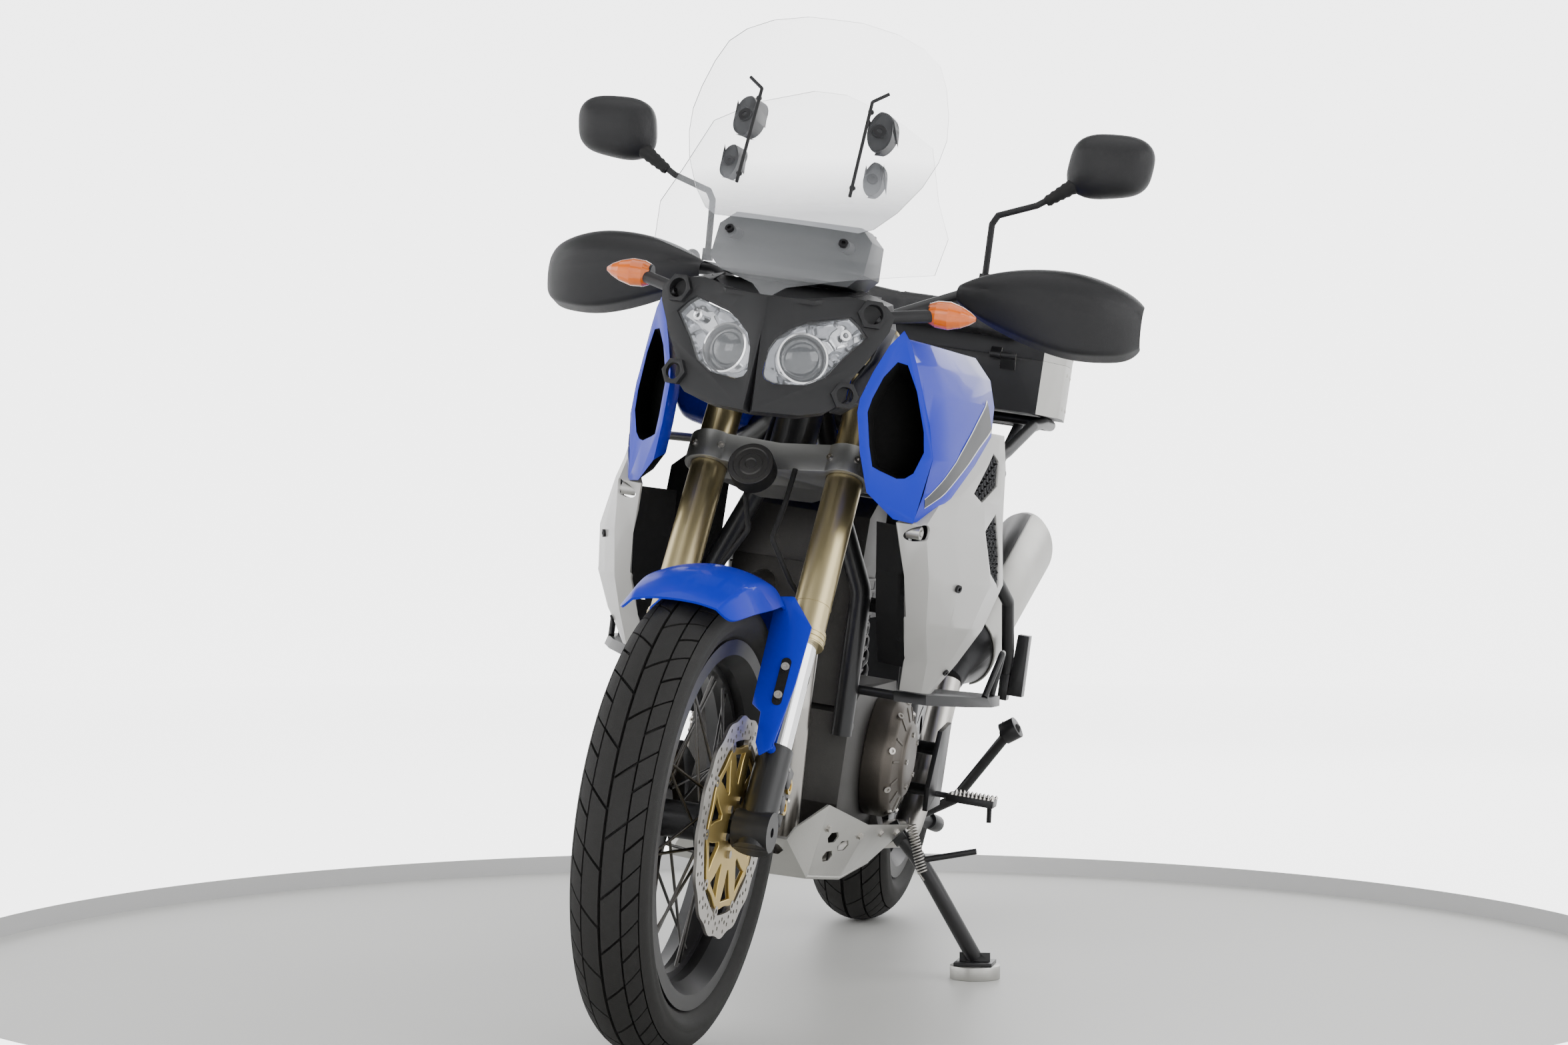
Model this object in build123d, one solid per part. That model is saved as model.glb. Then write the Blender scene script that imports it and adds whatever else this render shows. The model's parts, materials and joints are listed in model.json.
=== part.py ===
"""Adventure motorcycle leaning on its side stand, as separate named pieces.

Every piece is drawn on an upright machine: X forward, Y to the rider's left, Z up, millimetres,
with the rear tyre touching the ground at the origin.  The last section turns the steered pieces,
leans the whole machine onto its stand and moves it so that the origin is under its middle.
"""
from build123d import *
import math
import os

os.makedirs("parts", exist_ok=True)

# ---------------------------------------------------------------- driving dimensions
wheelbase = 1540
rake_angle = 28
trail = 126
lean_angle = 8.7
lean_height = 62
steer_angle = -4.6
fit = 0.3
clear = 5.5

front_tyre_radius = 329
front_tyre_width = 110
front_crown = 62
front_bead_radius = 244
front_rim_half = 38
rear_tyre_radius = 321
rear_tyre_width = 150
rear_crown = 80
rear_bead_radius = 219
rear_rim_half = 56

spoke_radius = 2.2
spokes_per_side = 16
front_disc_radius = 155
rear_disc_radius = 141
disc_thickness = 4.5
disc_plane = 69.7

fork_half_spacing = 104
fork_tube_radius = 27
stanchion_radius = 21.5
fork_offset = 39.5
axle_lead = 3.7
front_axle_radius = 9.5
front_axle_bore = 7
axle_boss_length = 52
axle_boss_radius = 28
rear_axle_radius = 12

head_tube_radius = 34
stem_radius = 24
lower_clamp_bottom = 905
lower_clamp_top = 950
bearing_gap = 1
head_tube_bottom = lower_clamp_top + bearing_gap
head_tube_top = 1120
upper_clamp_bottom = head_tube_top + bearing_gap
upper_clamp_top = upper_clamp_bottom + 29
fork_tube_bottom = 638
fork_tube_top = 1162
stanchion_bottom = 474
fork_end_bottom = 322

spar_radius = 20
down_tube_radius = 16
rail_radius = 14
rail_spacing = 120
rack_radius = 11
panel_wall = 4

engine_half_width = 122
cylinder_half_width = 100
pivot_x = 575
pivot_z = 385
pivot_radius = 16

screen_wall = 4
case_wall = 4
case_floor_level = 985
case_split_level = 1084
case_top_level = 1176
puck_radius = 41
puck_height = 22
puck_x = 720
puck_y = 322


# ---------------------------------------------------------------- drawing helpers
def face_of(points):
    """A flat face with straight edges through three-dimensional points."""
    return make_face(Polyline(*points, close=True))


def side_prism(outline, start, end):
    """A prism along Y over an outline of (x, z) points."""
    return extrude(face_of([(x, start, z) for x, z in outline]), amount=end - start, dir=(0, 1, 0))


def plan_prism(outline, start, end):
    """A prism along Z over an outline of (x, y) points."""
    return extrude(face_of([(x, y, start) for x, y in outline]), amount=end - start, dir=(0, 0, 1))


def cross_prism(outline, start, end):
    """A prism along X over an outline of (y, z) points."""
    return extrude(face_of([(start, y, z) for y, z in outline]), amount=end - start, dir=(1, 0, 0))


def rod(start, end, radius):
    """A straight round bar between two points."""
    run = Vector(*end) - Vector(*start)
    return Plane(start, z_dir=run) * extrude(Circle(radius), amount=run.length)


def tube(points, radius, bend):
    """A round bar along straight runs joined by tangent arcs."""
    path = FilletPolyline(*points, radius=bend)
    return sweep(Plane(path @ 0, z_dir=path % 0) * Circle(radius), path=path)


def ring(profile):
    """A turned piece about Z from a closed profile of (radius, height) points."""
    return revolve(face_of([(r, 0, h) for r, h in profile]), Axis.Z)


def inset(line, wall):
    """The same line moved by the wall thickness to the left of its direction."""
    moved = []
    for index, (a, b) in enumerate(line):
        before = line[max(index - 1, 0)]
        after = line[min(index + 1, len(line) - 1)]
        run = Vector(after[0] - before[0], after[1] - before[1]).normalized()
        moved.append((a - wall * run.Y, b + wall * run.X))
    return moved


def level_shell(rows, wall):
    """A faceted shell through rows of (height, [(x, y), ...]), thickened to the left of each line."""
    faces = []
    for level, line in rows:
        loop = line + inset(line, wall)[::-1]
        faces.append(face_of([(x, y, level) for x, y in loop]))
    return loft(faces, ruled=True)


def station_shell(rows, wall, along="x"):
    """A faceted shell through rows of (station, [(a, b), ...]) along X or Y."""
    faces = []
    for station, line in rows:
        loop = line + inset(line, wall)[::-1]
        if along == "x":
            faces.append(face_of([(station, a, b) for a, b in loop]))
        else:
            faces.append(face_of([(a, station, b) for a, b in loop]))
    return loft(faces, ruled=True)


def station_block(rows):
    """A faceted block through rows of (x, [(y, z), ...]) given for the left half."""
    faces = []
    for station, half in rows:
        loop = half + [(-y, z) for y, z in reversed(half) if y > 0]
        faces.append(face_of([(station, y, z) for y, z in loop]))
    return loft(faces, ruled=True)


def flipped(shape):
    """The same piece for the right-hand side."""
    return mirror(shape, about=Plane.XZ)


def both(shape):
    """A piece and its mirror image as one node."""
    return Compound([*shape.solids(), *flipped(shape).solids()])


def group(*shapes):
    """Several separate solids as one node."""
    return Compound([solid for shape in shapes for solid in shape.solids()])


# ---------------------------------------------------------------- reference places
steer_up = Vector(-math.sin(math.radians(rake_angle)), 0, math.cos(math.radians(rake_angle)))
steer_forward = Vector(math.cos(math.radians(rake_angle)), 0, math.sin(math.radians(rake_angle)))
front_axle = Vector(wheelbase, 0, front_tyre_radius)
steer_foot = Vector(wheelbase + trail, 0, 0)
steer_frame = Plane(steer_foot, x_dir=steer_forward, z_dir=steer_up).location
axle_rise = (front_axle - steer_foot).dot(steer_up)
axle_forward = (front_axle - steer_foot).dot(steer_forward)
rear_axle = Vector(0, 0, rear_tyre_radius)


def at_front_axle(shape):
    return Pos(*front_axle) * Rot(X=-90) * shape


def at_rear_axle(shape):
    return Pos(*rear_axle) * Rot(X=-90) * shape


def on_steering(shape):
    """Place a piece drawn with X forward of, and Z along, the steering axis."""
    return steer_frame * shape


# ---------------------------------------------------------------- wheels
tyre_wall = 9
tyre_lip = 14


def tyre(radius, width, crown, bead_radius, rim_half):
    """Tyre carcass: a round crown, two bulging walls and two beads, open towards the rim."""
    shoulder = 0.43 * width
    shoulder_radius = radius - crown + math.sqrt(crown ** 2 - shoulder ** 2)
    belly_radius = (shoulder_radius + bead_radius) / 2 + 4
    lip_radius = bead_radius + tyre_lip
    outer = [
        ThreePointArc((shoulder_radius, 0, shoulder), (radius, 0, 0), (shoulder_radius, 0, -shoulder)),
        ThreePointArc((shoulder_radius, 0, -shoulder), (belly_radius, 0, -width / 2),
                      (lip_radius, 0, -rim_half - 2)),
        Polyline((lip_radius, 0, -rim_half - 2), (bead_radius, 0, -rim_half), (bead_radius, 0, rim_half),
                 (lip_radius, 0, rim_half + 2)),
        ThreePointArc((lip_radius, 0, rim_half + 2), (belly_radius, 0, width / 2), (shoulder_radius, 0, shoulder)),
    ]
    inner_shoulder = shoulder - tyre_wall
    inner_radius = shoulder_radius - tyre_wall
    inner_half = rim_half - tyre_wall
    inner = [
        (radius - tyre_wall - 2, 0), (inner_radius, inner_shoulder), (belly_radius, width / 2 - tyre_wall),
        (lip_radius, inner_half + 2), (bead_radius - 5, inner_half),
    ]
    return revolve(make_face(outer), Axis.Z) - ring(inner + [(r, -h) for r, h in reversed(inner[1:])])


def rim(bead_radius, rim_half):
    """Drop-centre rim with flanges outside the beads and a middle rib that takes the spokes."""
    seat = bead_radius - fit
    flange = rim_half + 2 + fit
    upper = [(bead_radius + 13, flange + 0.1), (seat, rim_half + fit), (seat, rim_half - 11), (seat - 16, rim_half - 20)]
    under = [(bead_radius + 13, flange + 5), (seat - 8, flange + 5), (seat - 22, rim_half - 17), (seat - 22, 6),
             (seat - 32, 6)]
    loop = upper + [(r, -h) for r, h in reversed(upper)] + [(r, -h) for r, h in under] + under[::-1]
    return ring(loop)


def hub(flange_radius, flange_half, barrel_radius, end_half, bore):
    half = [
        (bore, end_half), (barrel_radius, end_half), (barrel_radius, flange_half + 3),
        (flange_radius, flange_half + 3), (flange_radius, flange_half - 3), (barrel_radius - 4, flange_half - 3),
    ]
    return ring(half + [(r, -h) for r, h in reversed(half)])


def spokes(flange_radius, flange_half, rim_rib_radius):
    """Tangential wire spokes that cross, half of them on each face of each hub flange."""
    lead = 36
    step = 360 / spokes_per_side
    pieces = []
    for side in (1, -1):
        for index in range(spokes_per_side):
            outward = 1 if index % 2 else -1
            start_angle = math.radians(index * step + (0 if side > 0 else step / 2))
            end_angle = start_angle + outward * math.radians(lead)
            start_height = side * (flange_half + outward * (3 + fit + spoke_radius))
            start = (
                (flange_radius - 6) * math.cos(start_angle),
                (flange_radius - 6) * math.sin(start_angle),
                start_height,
            )
            end = (
                (rim_rib_radius - 1.6) * math.cos(end_angle),
                (rim_rib_radius - 1.6) * math.sin(end_angle),
                side * 2.6,
            )
            pieces.append(rod(start, end, spoke_radius))
    return group(*pieces)


def brake_disc(radius, carrier_bore, height):
    """Floating disc: a braking ring and a spider with six windows, joined by bobbins."""
    ring_inner = radius - 34
    carrier_radius = ring_inner - 6
    braking = Circle(radius) - Circle(ring_inner)
    carrier = Circle(carrier_radius) - Circle(carrier_bore)
    window = PolarLocations((carrier_radius + carrier_bore) / 2, 6) * SlotOverall(
        carrier_radius - carrier_bore - 22, 22)
    carrier = carrier - window
    bobbins = PolarLocations(ring_inner - 3, 10) * Circle(7)
    plate = extrude(braking + carrier + bobbins, amount=disc_thickness)
    return Pos(0, 0, height) * plate


front_flange_radius = 52
front_flange_half = 36
rear_flange_radius = 78
rear_flange_half = 44
disc_inner_face = disc_plane - disc_thickness / 2

front_tyre = at_front_axle(tyre(front_tyre_radius, front_tyre_width, front_crown, front_bead_radius,
                                front_rim_half))
front_rim = at_front_axle(rim(front_bead_radius, front_rim_half))
front_hub = at_front_axle(hub(front_flange_radius, front_flange_half, 30, disc_inner_face,
                              front_axle_radius + fit))
front_spokes = at_front_axle(spokes(front_flange_radius, front_flange_half, front_bead_radius - fit - 32))
front_disc = brake_disc(front_disc_radius, 22, disc_inner_face)
front_discs = at_front_axle(group(front_disc, mirror(front_disc, about=Plane.XY)))

rear_hub_half = 66
rear_tyre = at_rear_axle(tyre(rear_tyre_radius, rear_tyre_width, rear_crown, rear_bead_radius, rear_rim_half))
rear_rim = at_rear_axle(rim(rear_bead_radius, rear_rim_half))
rear_hub = at_rear_axle(hub(rear_flange_radius, rear_flange_half, 45, rear_hub_half, rear_axle_radius + fit))
rear_spokes = at_rear_axle(spokes(rear_flange_radius, rear_flange_half, rear_bead_radius - fit - 32))
rear_disc = at_rear_axle(brake_disc(rear_disc_radius, 40, rear_hub_half))


# ---------------------------------------------------------------- steering, drawn along its axis
fork_places = [(fork_offset, fork_half_spacing), (fork_offset, -fork_half_spacing)]


def clamp_outline(reach):
    """Plan of a fork clamp: two eyes joined to a wide middle."""
    web = make_face(Polyline((-38, -40), (fork_offset - 24, -118), (fork_offset + 30, -100), (fork_offset + 16, 0),
                             (fork_offset + 30, 100), (fork_offset - 24, 118), (-38, 40), close=True))
    eyes = Sketch() + [Pos(x, y) * Circle(reach) for x, y in fork_places]
    bores = Sketch() + [Pos(x, y) * Circle(fork_tube_radius + fit) for x, y in fork_places]
    return web + eyes - bores


lower_clamp = Pos(0, 0, lower_clamp_bottom) * extrude(clamp_outline(37), amount=lower_clamp_top - lower_clamp_bottom)
upper_clamp = Pos(0, 0, upper_clamp_bottom) * extrude(clamp_outline(35), amount=upper_clamp_top - upper_clamp_bottom)
upper_clamp = upper_clamp - Pos(0, 0, upper_clamp_bottom) * extrude(Circle(stem_radius + fit), amount=60)
stem = Pos(0, 0, lower_clamp_top) * extrude(Circle(stem_radius), amount=upper_clamp_top + 12 - lower_clamp_top)
triple_clamps = on_steering(group(lower_clamp + stem, upper_clamp))

tube_length = fork_tube_top - fork_tube_bottom
outer_tube = Pos(0, 0, fork_tube_bottom) * extrude(Circle(fork_tube_radius) - Circle(stanchion_radius + fit),
                                                   amount=tube_length - 8)
tube_cap = Pos(0, 0, fork_tube_top - 8) * extrude(Circle(fork_tube_radius), amount=8)
collar = Pos(0, 0, fork_tube_bottom) * extrude(Circle(fork_tube_radius + 2.5) - Circle(stanchion_radius + fit),
                                               amount=22)
fork_tube = outer_tube + tube_cap + collar
fork_tubes = on_steering(group(*[Pos(x, y, 0) * fork_tube for x, y in fork_places]))

stanchion = Pos(0, 0, stanchion_bottom) * extrude(Circle(stanchion_radius), amount=430)
stanchions = on_steering(group(*[Pos(x, y, 0) * stanchion for x, y in fork_places]))

fork_end_inner = disc_plane + disc_thickness / 2 + clear
boss_step = 1.5
fork_end_radius = fork_half_spacing - fork_end_inner - boss_step
fork_end = Pos(fork_offset, fork_half_spacing, fork_end_bottom) * extrude(
    Circle(fork_end_radius), amount=stanchion_bottom - fork_end_bottom)
axle_boss = Plane((axle_forward, fork_end_inner, axle_rise), z_dir=(0, 1, 0)) * extrude(
    Circle(axle_boss_radius), amount=axle_boss_length)
fork_end = fork_end + axle_boss
front_axle_bar = Plane((axle_forward, -fork_end_inner, axle_rise), z_dir=(0, 1, 0)) * extrude(
    Circle(front_axle_radius), amount=2 * fork_end_inner)
axle_reach = fork_end_inner + axle_boss_length
axle_hole = Plane((axle_forward, -axle_reach - 1, axle_rise), z_dir=(0, 1, 0)) * extrude(
    Circle(front_axle_bore), amount=2 * axle_reach + 2)
fork_ends = on_steering(fork_end + flipped(fork_end) + front_axle_bar - axle_hole)

# caliper: a bridge over the rim of the disc behind the fork end
caliper_back = -58
caliper_front = fork_offset - fork_end_radius - fit
caliper_low = 395
caliper_high = 480
slot_half = disc_thickness / 2 + clear
caliper_body = plan_prism(
    [(caliper_back, disc_plane - slot_half - 24), (caliper_front, disc_plane - slot_half - 24),
     (caliper_front, disc_plane + slot_half + 34), (caliper_back + 8, disc_plane + slot_half + 34),
     (caliper_back, disc_plane + slot_half + 26)], caliper_low, caliper_high)
disc_room = Plane((axle_forward, disc_plane - slot_half, axle_rise), z_dir=(0, 1, 0)) * extrude(
    Circle(front_disc_radius + 6), amount=2 * slot_half)
spoke_room = Plane((axle_forward, 0, axle_rise), z_dir=(0, 1, 0)) * extrude(Circle(118), amount=disc_plane)
caliper_body = caliper_body - disc_room - spoke_room
pistons = [Plane((-22, disc_plane + slot_half + 34, h), z_dir=(0, 1, 0)) * extrude(Circle(13), amount=4)
           for h in (418, 456)]
caliper = caliper_body + pistons
front_calipers = on_steering(both(caliper))

# mudguard: rows of (angle round the wheel, [(half-width, radius), ...]) and two flat wings
fender_rows = [
    (64, [(0, 346), (34, 344), (58, 336), (74, 322)]),
    (74, [(0, 352), (40, 350), (70, 336), (88, 312)]),
    (84, [(0, 357), (42, 354), (72, 338), (90, 305)]),
    (98, [(0, 361), (40, 357), (72, 342), (92, 312)]),
    (112, [(0, 358), (38, 355), (66, 346), (72, 334)]),
    (130, [(0, 350), (36, 348), (60, 340), (66, 330)]),
    (146, [(0, 345), (34, 343), (56, 336), (62, 326)]),
]
fender_wall = 3.5
fender_faces = []
for angle, half in fender_rows:
    reach = Vector(math.cos(math.radians(angle)), 0, math.sin(math.radians(angle)))
    outer = [(y, r) for y, r in half] + [(y, r - fender_wall) for y, r in reversed(half)]
    loop = half[::-1] + [(-y, r) for y, r in half[1:]]
    loop = loop + [(y, r - fender_wall) for y, r in reversed(loop)]
    fender_faces.append(face_of([tuple(front_axle + reach * r + Vector(0, y, 0)) for y, r in loop]))
fender_top = loft(fender_faces, ruled=True)
wing_front = fork_offset + fork_tube_radius + 12
wing = on_steering(Plane((wing_front, 0, 0), x_dir=(0, 1, 0), z_dir=(1, 0, 0)) * extrude(
    make_face(Polyline((60, 692), (88, 692), (121, 652), (119, 560), (110, 458), (94, 446), (84, 466), (80, 512),
                       (64, 524), close=True)), amount=fender_wall))
fork_room = on_steering(Part() + [Pos(x, y, 400) * extrude(Circle(fork_tube_radius + 4), amount=400)
                                  for x, y in fork_places])
wing_boss = on_steering(rod((fork_offset + fork_end_radius + fit, fork_half_spacing, 464),
                            (wing_front + 1, fork_half_spacing, 464), 7))
front_fender = fender_top - fork_room + wing + flipped(wing) + wing_boss + flipped(wing_boss)

horn_body = on_steering(Pos(fork_offset + 38, -20, 884) * Rot(Y=90) * extrude(Circle(34), amount=26))
horn_stem = on_steering(rod((fork_offset + 20.2, -20, 911), (fork_offset + 42, -20, 911), 5))
horn = horn_body + horn_stem

hose_runs = [
    [(62, 34, 904.7), (66, 34, 850), (60, 26, 790), (30, 58, 742), (2, 92, 706), (-4, 101, 640), (-6, 99, 560),
     (-16, 96, 482)],
    [(62, -34, 904.7), (64, -28, 850), (60, -12, 800), (34, -48, 748), (2, -90, 706), (-4, -101, 640),
     (-6, -99, 560), (-16, -96, 482)],
]
brake_hoses = on_steering(group(*[tube(run, 4, 14) for run in hose_runs]))

# handlebar: bar, risers, grips, levers
bar_height = 1199
bar_half = [(-60, 442, 1307), (-46, 300, 1304), (-28, 205, 1288), (15, 92, bar_height)]
bar_points = bar_half + [(x, -y, z) for x, y, z in reversed(bar_half)]
bar = tube(bar_points, 11, 40)
riser = Pos(16, 48, upper_clamp_top) * extrude(Rectangle(34, 28), amount=bar_height + 12 - upper_clamp_top)
bar = bar + riser + flipped(riser)
handlebar = on_steering(bar)

grip_start = Vector(*bar_half[1]) + (Vector(*bar_half[0]) - Vector(*bar_half[1])) * 0.14
grip_end = Vector(*bar_half[1]) + (Vector(*bar_half[0]) - Vector(*bar_half[1])) * 0.96
grip_room = rod(bar_half[1], bar_half[0], 11 + fit)
grip = on_steering(rod(tuple(grip_start), tuple(grip_end), 17) - grip_room)
grips = both(grip)

# hand guards: rows of (y, [(x, z), ...]) from the upper rear edge round the front to the lower rear edge
guard_rows = [
    (205, [(1098, 1128), (1122, 1126), (1124, 1112), (1100, 1106)]),
    (268, [(1082, 1150), (1136, 1148), (1138, 1080), (1096, 1068)]),
    (366, [(1068, 1160), (1126, 1156), (1122, 1052), (1082, 1040)]),
    (414, [(1058, 1148), (1108, 1144), (1104, 1050), (1068, 1040)]),
    (450, [(1046, 1136), (1078, 1130), (1076, 1056), (1048, 1046)]),
    (474, [(1034, 1126), (1058, 1122), (1056, 1070), (1036, 1064)]),
]
guard_shell = station_shell(guard_rows, -4, along="y")
guard_end = rod((998, 454, 1130), (1066, 454, 1116), 7) + rod((1000, 443.6, 1126.5), (1000, 456, 1129), 6)
hand_guard_left = guard_shell + guard_end
hand_guard_right = flipped(hand_guard_left)

# levers and their perches
lever_perch = rod((1032, 246, 1142), (1062, 246, 1130), 12)
lever = tube([(1062, 250, 1128), (1090, 300, 1120), (1082, 372, 1112), (1062, 440, 1112)], 5.5, 12)
levers = both(lever_perch + lever)
handlebar = handlebar + levers.solids()

mirror_rows = [(1018, 64, 48), (1030, 65, 49), (1046, 58, 43), (1060, 42, 30), (1068, 18, 12)]
mirror_faces = [Plane((x, 398, 1334), x_dir=(0, 1, 0), z_dir=(1, 0, 0)) * make_face(Ellipse(a, b))
                for x, a, b in mirror_rows]
mirror_head = loft(mirror_faces, ruled=True)
mirror_stem = tube([(1032.4, 222, 1137.2), (1032, 224, 1238), (1032, 290, 1266), (1036, 350, 1303)], 6, 10)
mirror_boot = rod((1033, 318, 1283), (1036, 352, 1304), 11)
mirror_left = mirror_head + mirror_boot + mirror_stem
mirror_right = flipped(mirror_left)

# ---------------------------------------------------------------- frame
head_tube = on_steering(Pos(0, 0, head_tube_bottom) * extrude(
    Circle(head_tube_radius) - Circle(stem_radius + fit), amount=head_tube_top - head_tube_bottom))
stem_room = on_steering(Pos(0, 0, head_tube_bottom - 1) * extrude(Circle(stem_radius + fit),
                                                                 amount=head_tube_top - head_tube_bottom + 2))
spar_points = [(1140, 24, 945), (1085, 60, 905), (985, 128, 858), (700, 128, 745), (600, 128, 580),
               (585, 128, 420)]
spar = tube(spar_points, spar_radius, 45)
down_points = [(1155, 26, 925), (1120, 66, 780), (1110, 118, 660), (1100, 118, 440)]
down_tube = tube(down_points, down_tube_radius, 45)
pivot_plate = side_prism([(545, 470), (615, 480), (622, 300), (600, 262), (545, 262)], 112, 128)
brace = rod((1068, 118, 452), (1100, 118, 452), 12)
cross_bars = [
    rod((585, -114, 300), (585, 114, 300), 13),
    rod((668, -128, 691), (668, 128, 691), 13),
    rod((760, -128, 770), (760, 128, 770), 13),
    rod((1000, -122, 838), (1000, 122, 838), 12),
]
lamp_stay = rod((1150, 0, 935), (1380, 0, 985), 13)
pivot_bolt = rod((pivot_x, -128, pivot_z), (pivot_x, 128, pivot_z), pivot_radius)
main_frame = head_tube + spar + flipped(spar) + down_tube + flipped(down_tube)
main_frame = main_frame + pivot_plate + flipped(pivot_plate) + brace + flipped(brace) + cross_bars + lamp_stay
main_frame = main_frame + pivot_bolt - stem_room

rail_points = [(652, 128, 768), (450, rail_spacing, 800), (-140, rail_spacing, 868)]
rail = tube(rail_points, rail_radius, 60)
lower_rail = rod((604, 128, 604), (330, rail_spacing, 800), 11)
frame_room = tube(spar_points, spar_radius + fit, 45)
rail = rail + lower_rail - frame_room
subframe = rail + flipped(rail) + rod((-60, -rail_spacing, 859), (-60, rail_spacing, 859), 11)
subframe = subframe + rod((420, -rail_spacing, 803), (420, rail_spacing, 803), 11)

# ---------------------------------------------------------------- engine
case_bottom = 262
case_outline = [(650, 330), (700, case_bottom), (1030, case_bottom), (1068, 330), (1068, 470), (1000, 505), (690, 505), (650, 450)]
crankcase = side_prism(case_outline, -engine_half_width, engine_half_width)
barrel = side_prism([(910, 505), (1000, 505), (1060, 478), (1054, 690), (910, 705)],
                    -cylinder_half_width, cylinder_half_width)
head = side_prism([(904, 705), (1058, 690), (1050, 770), (985, 800), (910, 790)], -104, 104)
stand_pivot = Vector(735, 168, 262)
stand_axis = Vector(-0.10, 0.77, 0.63).normalized()
stand_pin_radius = 8
stand_lug = cross_prism([(122, 300), (128, 300), (138, 272), (150, 252), (150, 240), (136, 228), (122, 250)], 712, 756)
stand_pin = rod(tuple(stand_pivot - stand_axis * 26), tuple(stand_pivot + stand_axis * 14), stand_pin_radius)
engine_case = crankcase + barrel + head + stand_lug + stand_pin
engine_case = engine_case - down_tube - flipped(down_tube) - brace - flipped(brace)

left_cover_profile = [(0, 0), (97, 0), (97, 34), (88, 48), (60, 56), (58, 62), (30, 64), (0, 64)]
engine_cover_left = Pos(820, engine_half_width, 392) * Rot(X=-90) * ring(left_cover_profile)
clutch_profile = [(0, 0), (104, 0), (104, 26), (94, 44), (66, 52), (0, 54)]
clutch_cover_right = Pos(795, -engine_half_width, 385) * Rot(X=90) * ring(clutch_profile)

intake_box = side_prism([(700, 610), (880, 610), (884, 742), (760, 742), (700, 700)], -96, 96)
intake_stubs = [rod((878, y, 640), (910, y, 640), 24) for y in (45, -45)]
airbox = intake_box + intake_stubs

radiator = side_prism([(1082, 600), (1185, 600), (1192, 788), (1078, 788)], 196, 217)
radiator = radiator + rod((1083, 204, 640), (1035, 100, 640), 11) - barrel

header_radius = 19
header_left = tube([(1054, 46, 650), (1130, 50, 640), (1150, 56, 480), (1118, 60, 262), (1030, 66, 236),
                    (700, 76, 236), (640, 96, 237)], header_radius, 26)
header_right = tube([(1054, -46, 650), (1130, -50, 640), (1150, -30, 480), (1118, 4, 262), (1030, 16, 236),
                     (760, 30, 236), (680, 78, 236)], header_radius, 26)
link_pipe = tube([(640, 96, 237), (575, 156, 245), (520, 166, 340), (440, 168, 500)], 24, 24)
exhaust_headers = header_left + header_right + link_pipe

# ---------------------------------------------------------------- swing arm, shock, final drive
arm_left = side_prism([(600, 360), (600, 410), (420, 400), (-34, 350), (-34, 296), (60, 292), (420, 345)], 88, 111)
arm_bridge = side_prism([(545, 352), (600, 352), (600, 418), (470, 418), (392, 404), (392, 356)], -88, 88)
pivot_room = rod((pivot_x, -140, pivot_z), (pivot_x, 140, pivot_z), pivot_radius + fit)
shaft_tube = rod((590, -116, 384), (60, -118, 330), 33) + rod((90, -118, 333), (20, -118, 325), 40)
drive_profile = [(0, -150), (46, -150), (84, -132), (92, -110), (90, -rear_hub_half - fit), (rear_axle_radius, -rear_hub_half - fit),
                 (0, -rear_hub_half - fit)]
final_drive = at_rear_axle(ring(drive_profile))
axle_bar = rod((0, -rear_hub_half - 10, rear_tyre_radius), (0, 112, rear_tyre_radius), rear_axle_radius)
swing_arm = arm_left + arm_bridge + final_drive + axle_bar
swing_arm = swing_arm + shaft_tube
swing_arm = swing_arm - pivot_room - cross_prism([(-160, 250), (-111.5, 250), (-111.5, 480), (-160, 480)], 535, 632)
shock_low = Vector(500, 0, 431)
shock_high = Vector(655.8, 0, 681.6)
rear_shock = rod(tuple(shock_low), tuple(shock_high), 24) + rod(tuple(shock_low + Vector(12, 0, 60)),
                                                                 tuple(shock_high - Vector(10, 0, 50)), 36)

hugger_half = 88
hugger_wall = 4
hugger_radius = rear_tyre_radius + 15
hugger_band = at_rear_axle(ring([(hugger_radius, -hugger_half), (hugger_radius + hugger_wall, -hugger_half),
                                 (hugger_radius + hugger_wall, hugger_half), (hugger_radius, hugger_half)]))
hugger_sector = [(0, 0), (300, 119), (420, 239), (420, 479), (-120, 479)]
hugger_keep = side_prism([(x, rear_tyre_radius + z) for x, z in hugger_sector], -hugger_half - 12, hugger_half + 12)
stay_reach = hugger_radius + 10
stay_top = [(stay_reach * math.cos(math.radians(angle)), rear_tyre_radius + stay_reach * math.sin(math.radians(angle)))
            for angle in (43.7, 53.5)]
hugger_stay = side_prism([(225, 345), (255, 345)] + stay_top, hugger_half - 4.5, hugger_half - fit)
hugger_trim = at_rear_axle(extrude(Circle(hugger_radius + hugger_wall - 1), amount=120, both=True))
hugger = (hugger_band & hugger_keep) + (hugger_stay & hugger_trim)

# ---------------------------------------------------------------- exhaust silencer
muffler_start = Vector(440, 168, 500)
muffler_end = Vector(-130, 192, 748)
muffler_run = (muffler_end - muffler_start).normalized()
muffler_length = (muffler_end - muffler_start).length
muffler_frame = Plane(muffler_start, x_dir=Vector(0, 1, 0) - muffler_run * muffler_run.Y, z_dir=muffler_run)


def muffler_section(distance, half_width, half_height):
    return Plane(muffler_frame.from_local_coords((0, 0, distance)), x_dir=muffler_frame.x_dir,
                 z_dir=muffler_run) * make_face(Ellipse(half_width, half_height))


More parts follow.
